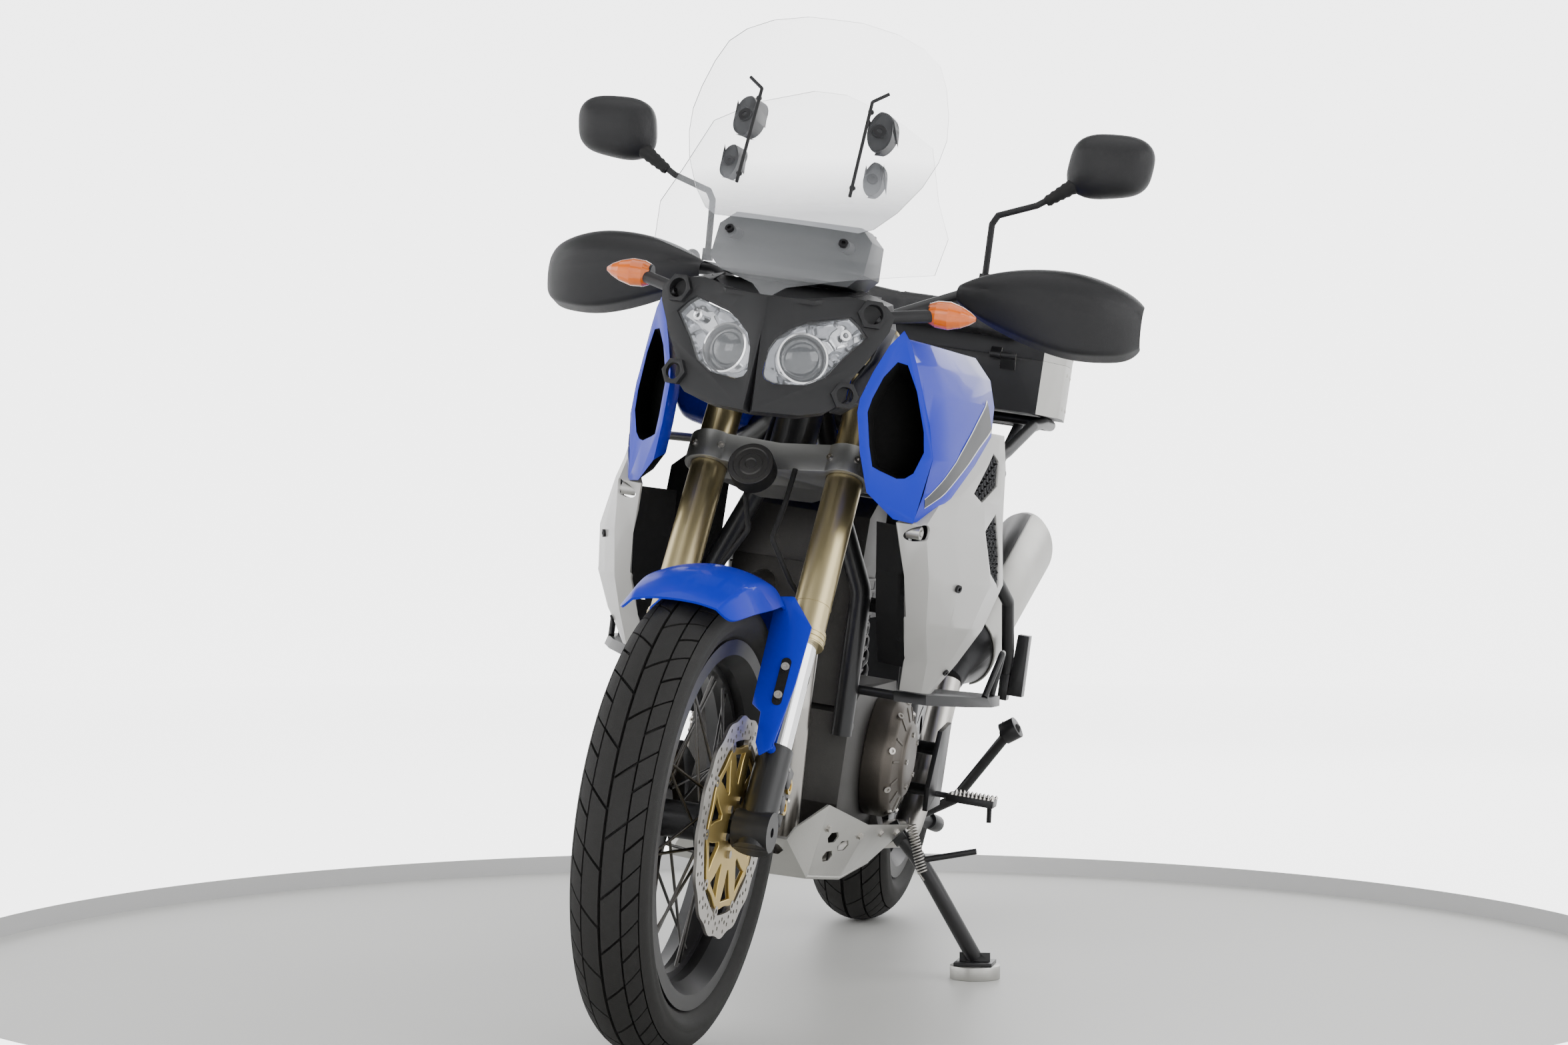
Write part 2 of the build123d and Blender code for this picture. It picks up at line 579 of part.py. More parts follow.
muffler_rows = [(0, 25, 25), (40, 28, 28), (130, 50, 66), (muffler_length - 30, 54, 70), (muffler_length, 46, 60)]
muffler = loft([muffler_section(*row) for row in muffler_rows], ruled=True)
muffler_tip = rod(tuple(muffler_frame.from_local_coords((0, 0, muffler_length))),
                  tuple(muffler_frame.from_local_coords((0, 0, muffler_length + 26))), 24)
muffler = muffler + muffler_tip
exhaust_headers = exhaust_headers - engine_case - pivot_plate - muffler
shield_wall = 4
body_rows = muffler_rows[2:4]
shield_outer, shield_inner = [
    loft([muffler_section(d, a + grow, b + grow) for d, a, b in body_rows], ruled=True)
    for grow in (shield_wall + fit, fit)]
shield_keep = muffler_frame.location * Pos(50, 0, 300) * Box(76, 260, 900)
muffler_shield = (shield_outer - shield_inner) & shield_keep

# ---------------------------------------------------------------- pegs and hangers
peg_points = [(590, 226), (650, 226), (650, 305), (600, 305)]
peg_tread = plan_prism(peg_points, 318, 330)
peg_window = plan_prism([(602, 240), (638, 240), (638, 292), (607, 292)], 310, 335)
feeler = rod((628, 297, 320), (628, 300, 292), 4)
peg_bracket = side_prism([(560, 300), (690, 300), (700, 340), (650, 430), (560, 440)], 196, 204)
peg_lug = rod((620, 202, 324), (620, 234, 324), 5)
peg_standoff = rod((585, 128.3, 394), (585, 198, 394), 11) + rod((600, 128.3, 325), (600, 198, 325), 10)
rider_peg_left = (peg_tread - peg_window) + feeler + peg_bracket + peg_lug + peg_standoff
rider_peg_right = flipped(rider_peg_left)

hanger_points = [(520, rail_spacing + 4, 787), (486, 212, 716), (400, 246, 650), (330, 250, 560), (302, 250, 500)]
hanger = tube(hanger_points, 11, 22)
hanger_foot = side_prism([(286, 474), (322, 474), (324, 520), (284, 520)], 242, 258)
passenger_hanger_left = hanger + hanger_foot - rail - frame_room
passenger_hanger_right = flipped(passenger_hanger_left)
pad = cross_prism([(258.3, 484), (284, 484), (282, 592), (262, 592)], 284, 322)
passenger_pegs = both(pad)

# ---------------------------------------------------------------- seats, tank
tank_rows = [
    (1062, [(0, 1020), (110, 1014), (196, 994), (232, 972), (240, 940), (215, 890), (160, 882), (0, 882)]),
    (1030, [(0, 1042), (116, 1026), (206, 1000), (248, 972), (250, 935), (220, 880), (160, 870), (0, 870)]),
    (940, [(0, 1086), (112, 1052), (200, 1012), (228, 968), (226, 920), (200, 872), (150, 862), (0, 862)]),
    (860, [(0, 1040), (104, 1022), (160, 985), (178, 940), (176, 900), (160, 862), (120, 848), (0, 848)]),
    (808, [(0, 962), (84, 952), (120, 925), (132, 900), (132, 880), (124, 856), (100, 846), (0, 846)]),
]
fuel_tank = station_block(tank_rows)
filler = rod((950, 0, 1040), (950, 0, 1094), 42)
spar_room = tube(spar_points, spar_radius + fit, 45)
fuel_tank = fuel_tank + filler - spar_room - flipped(spar_room)

rider_seat_rows = [
    (807, [(0, 905), (70, 898), (104, 870), (104, 846), (88, 838), (0, 838)]),
    (700, [(0, 872), (90, 868), (140, 846), (148, 812), (126, 802), (0, 802)]),
    (520, [(0, 864), (120, 862), (172, 850), (178, 824), (140, 818), (0, 818)]),
    (410, [(0, 884), (120, 880), (165, 866), (168, 842), (132, 826), (0, 826)]),
]
rider_seat = station_block(rider_seat_rows)
pillion_seat_rows = [
    (409, [(0, 905), (110, 900), (152, 884), (150, 846), (118, 828), (0, 828)]),
    (380, [(0, 936), (110, 930), (154, 908), (150, 850), (118, 834), (0, 834)]),
    (120, [(0, 942), (100, 936), (138, 916), (134, 876), (108, 866), (0, 866)]),
    (84, [(0, 930), (84, 924), (118, 910), (116, 884), (96, 874), (0, 874)]),
]
pillion_seat = station_block(pillion_seat_rows)

# ---------------------------------------------------------------- tail
tail_rows = [
    (340, [(0, 822), (100, 822), (104, 800), (92, 772), (0, 772)]),
    (60, [(0, 850), (98, 850), (102, 826), (88, 792), (0, 792)]),
    (-150, [(0, 878), (94, 876), (98, 850), (80, 818), (0, 818)]),
    (-232, [(0, 884), (70, 882), (74, 862), (56, 836), (0, 836)]),
]
tail_block = station_block(tail_rows)
tail_rail_room = tube(rail_points, rail_radius + fit, 60)
tail_unit = tail_block - subframe - tail_rail_room - flipped(tail_rail_room)
tail_lamp = cross_prism([(-58, 842), (58, 842), (66, 862), (62, 878), (-62, 878), (-66, 862)], -250, -232.3)
plate_holder = side_prism([(-150, 817), (-120, 812), (-360, 560), (-386, 560)], -88, 88)
plate_holder = plate_holder - side_prism([(-150, 790), (-130, 780), (-352, 556), (-376, 556)], -70, 70)

# ---------------------------------------------------------------- rack and top case
rack_points = [(352, 150, 862), (200, 176, 908), (60, 196, 962), (-60, 198, case_floor_level - rack_radius - fit),
               (-250, 190, case_floor_level - rack_radius - fit), (-286, 60, case_floor_level - rack_radius - fit)]
rack_rail = tube(rack_points, rack_radius, 24)
rack_level = case_floor_level - rack_radius - fit
rack_bridge = rod((-286, -62, rack_level), (-286, 62, rack_level), rack_radius)
rack_bars = [rod((x, -194, rack_level), (x, 194, rack_level), 9) for x in (-40, -180)]
rack_posts = [rod((x, rail_spacing, z), (x, 150 if x < 0 else 150, rack_level - 4), 9)
              for x, z in ((-100, 876),)]
rack_foot = rod((346, 132, 832), (350, 152, 866), 9)
rear_rack = rack_rail + rack_foot + rack_posts
rear_rack = rear_rack + flipped(rear_rack) + rack_bars + rack_bridge
rear_rack = rear_rack - subframe - pillion_seat - rider_seat

case_outline_plan = [(70, 0), (70, 200), (-20, 231), (-90, 231), (-330, 205), (-352, 180), (-352, 0)]


def case_face(level, shrink):
    """Case plan at one height, drawn in by a distance."""
    half = [(x + (shrink if x < 0 else -shrink), max(y - shrink, 0)) for x, y in case_outline_plan]
    loop = half + [(x, -y) for x, y in reversed(half) if y > 0]
    return face_of([(x, y, level) for x, y in loop])


def case_block(low, high, low_shrink, high_shrink):
    """Block between two heights, drawn in by its own distance at each."""
    return loft([case_face(low, low_shrink), case_face(high, high_shrink)], ruled=True)


case_base = case_block(case_floor_level, case_split_level, 0, 0)
case_base = case_base - case_block(case_floor_level + case_wall, case_split_level + 1, case_wall, case_wall)
roof_rise = 20
roof_inset = 14
roof_level = case_top_level - roof_rise
case_lid = case_block(case_split_level + fit, roof_level, 0, 0)
case_lid = case_lid + case_block(roof_level, case_top_level, 0, roof_inset)
case_lid = case_lid - case_block(case_split_level - 1, roof_level, case_wall, case_wall)
case_lid = case_lid - case_block(roof_level, case_top_level - case_wall, case_wall, roof_inset + case_wall)
hinge_x = 80
hinge_z = case_split_level
back_pad = side_prism([(70, 1106), (106, 1112), (112, 1176), (96, 1186), (70, 1180)], -150, 150)
hinge_length = 28
base_knuckles = [rod((hinge_x, y, hinge_z), (hinge_x, y + hinge_length, hinge_z), 6) for y in (-150, 122)]
base_knuckles += [rod((hinge_x, y, hinge_z), (hinge_x, y + 24, hinge_z), 2.7) for y in (-124, 100)]
base_knuckles += [side_prism([(70, hinge_z - 24), (74, hinge_z - 24), (hinge_x + 3, hinge_z - 4), (hinge_x - 3, hinge_z + 1),
                              (70, hinge_z - 8)], y, y + hinge_length) for y in (-150, 122)]
lid_knuckles = [rod((hinge_x, y, hinge_z), (hinge_x, y + 20, hinge_z), 6)
                - rod((hinge_x, y - 1, hinge_z), (hinge_x, y + 21, hinge_z), 3)
                + side_prism([(70, hinge_z + 14), (73, hinge_z + 14), (hinge_x + 2, hinge_z + 5.6),
                              (hinge_x - 4.5, hinge_z + 3.6), (70, hinge_z + 3)], y, y + 20)
                for y in (-121.4, 101.4)]

# ---------------------------------------------------------------- nose
lamp_plane = Plane((1496, 72, 997), x_dir=(-0.3614, 0.9324, 0), z_dir=(0.9213, 0.3571, 0.1535))
mask_outline = [(-76, 66), (-20, 72), (40, 84), (94, 79), (108, 65), (103, 43), (91, 22), (76, -4), (56, -34),
                (54, -60), (28, -82), (-8, -92), (-76, -96)]
lens_outline = [(46, 56), (21, 49), (-11, 41), (-33, 29), (-54, 12), (-64, -7), (-68, -41), (-64, -49), (-51, -54),
                (-4, -49), (22, -34), (42, -5), (59, 15), (73, 31), (60, 46)]
mask_depth = 34
lens_depth = 7


def in_lamp_plane(outline, start, end, grow=0.0):
    """A prism over an outline in the lamp plane, between two depths behind its front."""
    sketch = make_face(Polyline(*[(x, y) for x, y in outline], close=True))
    if grow:
        sketch = offset(sketch, amount=grow, kind=Kind.INTERSECTION)
    return lamp_plane * (Pos(0, 0, -end) * extrude(sketch, amount=end - start))


mask_half = in_lamp_plane(mask_outline, 0, mask_depth)
lens_room = in_lamp_plane(lens_outline, -20, mask_depth + 10, 0)
mask_bolts = [(76, 63, 14), (50, -56, 12)]
bolt_bosses = [lamp_plane * Pos(x, y, 0) * extrude(RegularPolygon(r + 8, 6), amount=7) for x, y, r in mask_bolts]
bolt_wells = [lamp_plane * Pos(x, y, -6) * extrude(Circle(r), amount=20) for x, y, r in mask_bolts]
left_of_middle = Pos(1400, 200, 1000) * Box(700, 400, 700)
mask_half = (mask_half + bolt_bosses - bolt_wells - lens_room) & left_of_middle
nose_side = station_shell([
    (1452, [(96, 1080), (150, 1072), (162, 1046), (146, 996), (126, 962), (122, 936), (98, 916)]),
    (1372, [(100, 1096), (150, 1082), (160, 1046), (146, 996), (128, 962), (124, 936), (98, 916)]),
], -3)
nose_top = station_block([
    (1500, [(0, 1066), (64, 1066), (64, 1060), (0, 1060)]),
    (1400, [(0, 1090), (112, 1090), (112, 1084), (0, 1084)]),
    (1300, [(0, 1094), (118, 1094), (118, 1088), (0, 1088)]),
])
mask_room = in_lamp_plane(mask_outline, 0, mask_depth)
nose_side = nose_side - mask_room - lens_room
nose_top = nose_top - mask_room - flipped(mask_room) - nose_side - flipped(nose_side)
nose_fascia = mask_half + flipped(mask_half) + nose_side + flipped(nose_side) + nose_top
lamp_cross_stay = rod((1380, -135.5, 985), (1380, 135.5, 985), 7) - nose_side - flipped(nose_side)
main_frame = main_frame + lamp_cross_stay

lens_half = in_lamp_plane(lens_outline, lens_depth - 3, lens_depth, -fit) & left_of_middle
lamp_lenses = both(lens_half)
bowl = in_lamp_plane(lens_outline, lens_depth + fit, mask_depth + 16, -fit - 0.2)
bowl = bowl - in_lamp_plane(lens_outline, lens_depth, mask_depth + 12, -6)
projector = lamp_plane * Pos(0, 0, -mask_depth - 14) * extrude(Circle(39), amount=mask_depth - lens_depth)
lamp_half = (bowl + projector - nose_side - nose_top) & (Pos(1400, 200.2, 1000) * Box(700, 400, 700))
headlamps = both(lamp_half - nose_fascia)

indicator_rows = [(204, 15, 14), (216, 21, 19), (234, 22, 20), (252, 17, 15), (264, 10, 9), (272, 3, 3)]
indicator_faces = [Plane((1382, y, 1077), x_dir=(1, 0, 0), z_dir=(0, 1, 0)) * make_face(Ellipse(a, b))
                   for y, a, b in indicator_rows]
indicator_lens = loft(indicator_faces, ruled=True)
indicator_stalk = rod((1436, 146.6, 1058), (1391, 211, 1073), 9)
indicator_left = indicator_lens + indicator_stalk - nose_side - mask_half
indicator_left = indicator_left.solids().sort_by(SortBy.VOLUME)[-1]
indicator_right = flipped(indicator_left)


# ---------------------------------------------------------------- screens and dash
def screen_section(level, middle, radius, half_width, wall):
    """Level slice of a curved screen: a thin bow through its middle and edges."""
    def depth(y, r):
        return middle - y * y / (2 * r)
    front = [(depth(y, radius), y, level) for y in (-half_width, 0, half_width)]
    back = [(x - wall, y, z) for x, y, z in front]
    edge = [ThreePointArc(*front), Line(front[2], back[2]), ThreePointArc(back[2], back[1], back[0]),
            Line(back[0], front[0])]
    return make_face(edge)


lower_screen_rows = [(1064, 1527, 215, 8), (1078, 1517, 215, 24), (1096, 1505, 222, 84), (1112, 1493, 230, 140),
                     (1130, 1481, 240, 206), (1185, 1442, 300, 213), (1235, 1407, 360, 190), (1315, 1350, 460, 163),
                     (1350, 1326, 480, 104), (1377, 1306, 480, 24)]
lower_sections = [screen_section(z, x, r, w, screen_wall) for z, x, r, w in lower_screen_rows]
windscreen_lower = loft(lower_sections, ruled=True)
upper_screen_rows = [(1169, 1486, 104), (1178, 1481.5, 122), (1207, 1468.5, 147), (1250, 1449, 171),
                     (1290, 1431, 184), (1325, 1415.5, 188), (1360, 1400, 183), (1400, 1382, 172),
                     (1432, 1367.5, 157), (1452, 1358.5, 132), (1468, 1351.3, 92), (1477, 1347.3, 40)]
upper_sections = [screen_section(z, x, 291, w, screen_wall) for z, x, w in upper_screen_rows]
windscreen_upper = loft(upper_sections, ruled=True)


def upper_face(y, z):
    return 1482 - 0.449 * (z - 1177) - y * y / 582


def lower_face(y, z):
    return 1530 - 0.705 * (z - 1060) - y * y / (2 * (215 + 1.1 * (z - 1087)))


slider_parts = []
for z, y, half_height, half_width in ((1250, 104, 26, 13), (1320, 98, 30, 17)):
    back = lower_face(y, z) + 1
    front = upper_face(y, z) - screen_wall - 1
    slider_parts.append(cross_prism([(y - half_width, z - half_height), (y + half_width, z - half_height),
                                     (y + half_width, z + half_height), (y - half_width, z + half_height)],
                                    back - 30, front + 30))
slider = Part() + slider_parts
front_of_upper = loft([screen_section(z, x + 90, 291, w, 90 + screen_wall + fit)
                       for z, x, w in upper_screen_rows[2:9]], ruled=True)
back_of_lower = loft([screen_section(z, x + fit, r, w, 200) for z, x, r, w in lower_screen_rows[4:9]], ruled=True)
slider = slider - front_of_upper - back_of_lower
slide_rail = rod((upper_face(82, 1219) + 6, 82, 1219), (upper_face(81, 1361) + 6, 81, 1361), 2.5)
slide_tip = rod((upper_face(81, 1361) + 6, 81, 1361), (1386, 102, 1376), 2.5)
behind_upper = loft([screen_section(z, x, 291, w, 60) for z, x, w in upper_screen_rows[2:9]], ruled=True)
slide_feet = [rod((upper_face(82, z) - 8, 82, z), (upper_face(82, z) + 6, 82, z), 4) for z in (1232, 1346)]
slide_bar = slide_rail + slide_tip + slide_feet - behind_upper
screen_sliders = both(group(slider, slide_bar))

dash_bottom = 1094 + fit
dash_body = side_prism([(1306, 1183), (1388, 1183), (1430, 1110), (1432, dash_bottom), (1306, dash_bottom)], -112, 112)
dash_body = chamfer(dash_body.edges().filter_by(Axis.X), 20)
dash_face = side_prism([(1290, 1180), (1305.7, 1180), (1305.7, 1100), (1290, 1100)], -96, 96)
front_of_lower = loft([screen_section(z, x + 90, r, w, 90 + screen_wall + fit)
                       for z, x, r, w in lower_screen_rows[3:7]], ruled=True)
screen_mount = rod((1380, 82, 1150), (1470, 82, 1150), 9) - front_of_lower
dash_panel = dash_body + dash_face + screen_mount + flipped(screen_mount)

# ---------------------------------------------------------------- blue side panels with the air scoops
cheek_panel_rows = [
    (780, [(1307, 214), (1302, 216), (1298, 218), (1294, 219), (1290, 220)]),
    (820, [(1303, 222), (1268, 233), (1244, 240), (1226, 245), (1212, 248)]),
    (874, [(1302, 228), (1240, 243), (1190, 252), (1150, 258), (1120, 262)]),
    (920, [(1324, 220), (1250, 238), (1170, 252), (1110, 262), (1052, 270)]),
    (966, [(1350, 207), (1270, 228), (1180, 245), (1100, 258), (1040, 266)]),
    (1005, [(1375, 196), (1290, 215), (1190, 232), (1100, 245), (1040, 254)]),
    (1036, [(1402, 182), (1300, 198), (1200, 208), (1100, 218), (1040, 226)]),
]
cheek = level_shell(cheek_panel_rows, panel_wall)
mouth_plane = Plane((1360, 194, 903.5), x_dir=(-0.766, 0.540, 0.347), z_dir=(0.5426, 0.8324, -0.0975))
mouth_outer = [(3, 152), (-27, 137), (-61, 106), (-88, 74), (-94, 56), (-92, -4), (-82, -66), (-32, -120), (8, -138),
               (52, -51), (48, 0), (36, 53), (25, 100), (15, 132)]
mouth_inner = [(-12, 107), (-40, 92), (-63, 67), (-73, 50), (-72, 0), (-68, -30), (-54, -40), (-22, -60), (-6, -64),
               (11, -61), (33, -36), (34, -6), (23, 56), (7, 98)]
duct_depth = 60
duct_shift = Vector(-0.93, -0.1, -0.06) * duct_depth


def duct_face(outline, step, scale):
    """The mouth outline moved back along the duct and drawn in towards its middle."""
    middle = (-20, 5)
    points = [(middle[0] + (x - middle[0]) * scale, middle[1] + (y - middle[1]) * scale) for x, y in outline]
    face = mouth_plane * make_face(Polyline(*points, close=True))
    return Pos(*(duct_shift * step)) * face


duct_outer = loft([duct_face(mouth_outer, 0, 1), duct_face(mouth_outer, 1, 0.82)], ruled=True)
duct_inner = loft([duct_face(mouth_inner, -0.1, 1.04), duct_face(mouth_inner, 1.1, 0.86)], ruled=True)
scoop_left = duct_outer + cheek - duct_inner - fuel_tank
scoop_right = flipped(scoop_left)

# ---------------------------------------------------------------- silver side cowls
cowl_rows = [
    (523, [(1122, 200), (1112, 232), (1104, 239), (1096, 242), (1086, 243)]),
    (575, [(1165, 207), (1152, 240), (1130, 255), (1112, 268), (1092, 276)]),
    (630, [(1228, 210), (1212, 240), (1165, 268), (1118, 292), (1078, 304)]),
    (700, [(1268, 206), (1250, 240), (1180, 275), (1090, 308), (1010, 316)]),
    (776, [(1318, 192), (1298, 232), (1215, 258), (1105, 290), (1000, 302)]),
    (822, [(1240, 234), (1222, 240), (1185, 256), (1090, 280), (992, 296)]),
    (876, [(1128, 254), (1105, 262), (1075, 272), (1035, 284), (986, 290)]),
    (926, [(1048, 264), (1036, 268), (1020, 272), (1004, 276), (984, 280)]),
]
cowl = level_shell(cowl_rows, panel_wall)
cowl_hole = rod((1290, 180, 765), (1300, 300, 765), 13)
upper_window = [(1128, 832), (1040, 896), (1024, 884), (1028, 848), (1100, 820)]
lower_window = [(1102, 778), (1034, 806), (1024, 744), (1040, 694), (1086, 716)]
windows = side_prism(upper_window, 200, 340) + side_prism(lower_window, 200, 340)
cowl_standoff = rod((984, 134, 855), (996, 290, 848), 7)
side_cowl_left = cowl + cowl_standoff - cowl_hole - windows - scoop_left - frame_room
side_cowl_right = flipped(side_cowl_left)
grille_left = (Pos(0, -5, 0) * cowl) & (side_prism([(1140, 826), (1040, 906), (1014, 894), (1018, 840), (1106, 808)],
                                                   200, 340)
                                        + side_prism([(1112, 784), (1026, 816), (1012, 744), (1034, 682),
                                                      (1094, 706)], 200, 340))
grille_left = grille_left - cowl - scoop_left
grille_right = flipped(grille_left)

inner_rows = [
    (560, [(1118, 160), (1140, 196), (1150, 206)]),
    (640, [(1190, 158), (1220, 196), (1234, 210)]),
    (700, [(1225, 156), (1254, 192), (1268, 206)]),
    (772, [(1258, 152), (1298, 182), (1314, 194)]),
]
inner_cowl_left = level_shell(inner_rows, 3) - radiator - cowl - scoop_left
inner_cowl_right = flipped(inner_cowl_left)

guard_plan = [(1112, 192), (1100, 240), (1010, 286), (930, 316), (868, 320), (862, 300), (930, 236), (1040, 196)]
wing_guard = loft([face_of([(x, y, 505) for x, y in guard_plan]),
                   face_of([(x - 6, y - 3, 520) for x, y in guard_plan])], ruled=True)
wing_guard = wing_guard - cowl
loop_bar = tube([(940, 304, 520.2), (900, 316, 588), (862, 312, 588), (874, 306, 520.2)], 5, 8)
lower_guard_left = wing_guard + loop_bar
guard_lug = rod((1094, 120, 512), (1094, 214, 512), 7)
lower_guard_left = lower_guard_left + guard_lug - down_tube
lower_guard_right = flipped(lower_guard_left)

# ---------------------------------------------------------------- skid plate
skid_rows = [
    (1186, [(84, 300), (76, 284), (0, 284)]),
    (1150, [(122, 338), (108, 226), (0, 222)]),
    (1000, [(160, 300), (130, 212), (0, 208)]),
    (760, [(186, 282), (130, 212), (0, 208)]),
]
skid_faces = []
skid_wall = 4
for station, half in skid_rows:
    top = [(y, z) for y, z in half] + [(-y, z) for y, z in reversed(half) if y > 0]
    under = [(y, z - skid_wall) for y, z in top]
    under[0] = (top[0][0] + skid_wall, top[0][1])
    under[-1] = (top[-1][0] - skid_wall, top[-1][1])
    skid_faces.append(face_of([(station, y, z) for y, z in top + under[::-1]]))
skid_plate = loft(skid_faces, ruled=True)
skid_posts = [rod((x, y, 209), (x, y, case_bottom), 8) for x, y in ((990, 112), (990, -112), (800, 112), (800, -112))]

# ---------------------------------------------------------------- final placing
steer_turn = steer_frame * Rot(Z=steer_angle) * steer_frame.inverse()
lean = Pos(0, 0, lean_height) * Rot(X=-lean_angle) * Pos(0, 0, -lean_height)


def lowest(place, centre, radius, crown):
    """Height of the lowest point of a leaning tyre with a round crown."""
    middle = (place * Pos(*centre)).position
    side = (place * Pos(*(centre + Vector(0, 1, 0)))).position - middle
    return middle.Z - (radius - crown) * math.sqrt(1 - side.Z ** 2) - crown


rear_low = lowest(lean, rear_axle, rear_tyre_radius, rear_crown)
front_low = lowest(lean * steer_turn, front_axle, front_tyre_radius, front_crown)
settle = Pos(0, 0, -rear_low) * Rot(Y=math.degrees(math.asin((front_low - rear_low) / wheelbase))) * lean

# ---------------------------------------------------------------- stands
puck = Pos(puck_x, puck_y, 0) * extrude(Circle(puck_radius), amount=puck_height)
foot_low = Pos(puck_x, puck_y, puck_height) * extrude(Rectangle(58, 62), amount=6)
foot_fin = Pos(puck_x, puck_y, puck_height + 6) * extrude(Rectangle(6, 50), amount=14)
foot = settle.inverse() * (foot_low + foot_fin)
foot_middle = (settle.inverse() * Pos(puck_x, puck_y, puck_height + 10)).position
leg = tube([(735, 176, 258), (738, 205, 232), (736, 232, 200), tuple(foot_middle)], 13, 30)
tang = rod((742, 214, 226), (742, 302, 256), 5)
stand_eye = Plane(stand_pivot - stand_axis * 11, z_dir=stand_axis) * extrude(Circle(20), amount=22)
stand_room = rod(tuple(stand_pivot - stand_axis * 30), tuple(stand_pivot + stand_axis * 30), stand_pin_radius + fit)
side_stand = leg + foot + tang + stand_eye - stand_room
stand_puck = settle.inverse() * puck

centre_pivot = Vector(545, 0, 286)
centre_legs = tube([(545, 97, 286), (500, 102, 262), (300, 132, 238), (250, 150, 232)], 12, 20)
centre_foot = rod((268, 146, 236), (232, 156, 228), 15)
centre_tang = tube([(330, 128, 244), (360, 200, 292), (420, 276, 414), (422, 282, 428)], 9, 14)
centre_pad = rod((421, 276, 424), (424, 298, 440), 19)
centre_boss = rod((545, 97, 286), (545, 112 - fit, 286), 14)
centre_cross = rod((520, -100, 275), (520, 100, 275), 11)
centre_stand = centre_legs + flipped(centre_legs) + centre_foot + flipped(centre_foot) + centre_cross
centre_stand = centre_stand + centre_boss + flipped(centre_boss) + centre_tang + centre_pad


# ---------------------------------------------------------------- nodes: name, solids
fixed_nodes = [
    ("main_frame", main_frame),
    ("subframe", subframe),
    ("engine_case", engine_case),
    ("engine_cover_left", engine_cover_left),
    ("clutch_cover_right", clutch_cover_right),
    ("airbox", airbox),
    ("radiator", radiator),
    ("exhaust_headers", exhaust_headers),
    ("muffler", muffler),
    ("muffler_shield", muffler_shield),
    ("swing_arm", swing_arm),
    ("rear_shock", rear_shock),
    ("hugger", hugger),
    ("rider_pegs", both(rider_peg_left)),
    ("passenger_hangers", group(both(passenger_hanger_left), passenger_pegs)),
    ("fuel_tank", fuel_tank),
    ("rider_seat", rider_seat),
    ("pillion_seat", pillion_seat),
    ("tail_unit", group(tail_unit, tail_lamp, plate_holder)),
    ("rear_rack", rear_rack),
    ("top_case_base", case_base + base_knuckles),
    ("nose_fascia", nose_fascia),
    ("headlamps", headlamps),
    ("lamp_lenses", lamp_lenses),
    ("indicator_left", indicator_left),
    ("indicator_right", indicator_right),
    ("windscreen_lower", windscreen_lower),
    ("windscreen_upper", windscreen_upper),
    ("screen_sliders", screen_sliders),
    ("dash_panel", dash_panel),
    ("scoop_left", scoop_left),
    ("scoop_right", scoop_right),
    ("side_cowl_left", side_cowl_left),
    ("side_cowl_right", side_cowl_right),
    ("grilles", group(grille_left, grille_right)),
    ("inner_cowls", group(inner_cowl_left, inner_cowl_right)),
    ("lower_guards", group(lower_guard_left, lower_guard_right)),
    ("skid_plate", skid_plate + skid_posts),
]
rear_wheel_nodes = [
    ("rear_tyre", rear_tyre),
    ("rear_rim", rear_rim),
    ("rear_hub", group(rear_hub, rear_spokes, rear_disc)),
]
lid_nodes = [
    ("top_case_lid", case_lid + lid_knuckles),
    ("back_pad", back_pad),
]
side_stand_nodes = [
    ("side_stand", side_stand),
    ("stand_puck", stand_puck),
]
centre_stand_nodes = [
    ("centre_stand", centre_stand),
]
steering_nodes = [
    ("triple_clamps", triple_clamps),
    ("fork_tubes", fork_tubes),
    ("fork_legs", group(stanchions, fork_ends)),
    ("front_calipers", front_calipers),
    ("front_fender", front_fender),
    ("horn", horn),
    ("brake_hoses", brake_hoses),
    ("handlebar", group(handlebar, grips)),
    ("hand_guards", group(hand_guard_left, hand_guard_right)),
    ("mirrors", group(mirror_left, mirror_right)),
]
front_wheel_nodes = [
    ("front_tyre", front_tyre),
    ("front_rim", front_rim),
    ("front_hub", group(front_hub, front_spokes)),
    ("front_discs", front_discs),
]

unsteered = fixed_nodes + rear_wheel_nodes + lid_nodes + side_stand_nodes + centre_stand_nodes
steered = steering_nodes + front_wheel_nodes
leaning = [(name, settle * shape) for name, shape in unsteered]
leaning += [(name, settle * steer_turn * shape) for name, shape in steered]
extent = Compound([solid for name, shape in leaning for solid in shape.solids()]).bounding_box()
centre_shift = Pos(-(extent.min.X + extent.max.X) / 2, -(extent.min.Y + extent.max.Y) / 2, 0)

for name, shape in leaning:
    export_step(Compound((centre_shift * shape).solids()), f"parts/{name}.step")
print("extent", [round(v, 2) for v in (*extent.min, *extent.max)])
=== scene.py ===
import json
import math
import bmesh
import bpy
from mathutils import Matrix, Vector
from mathutils.bvhtree import BVHTree


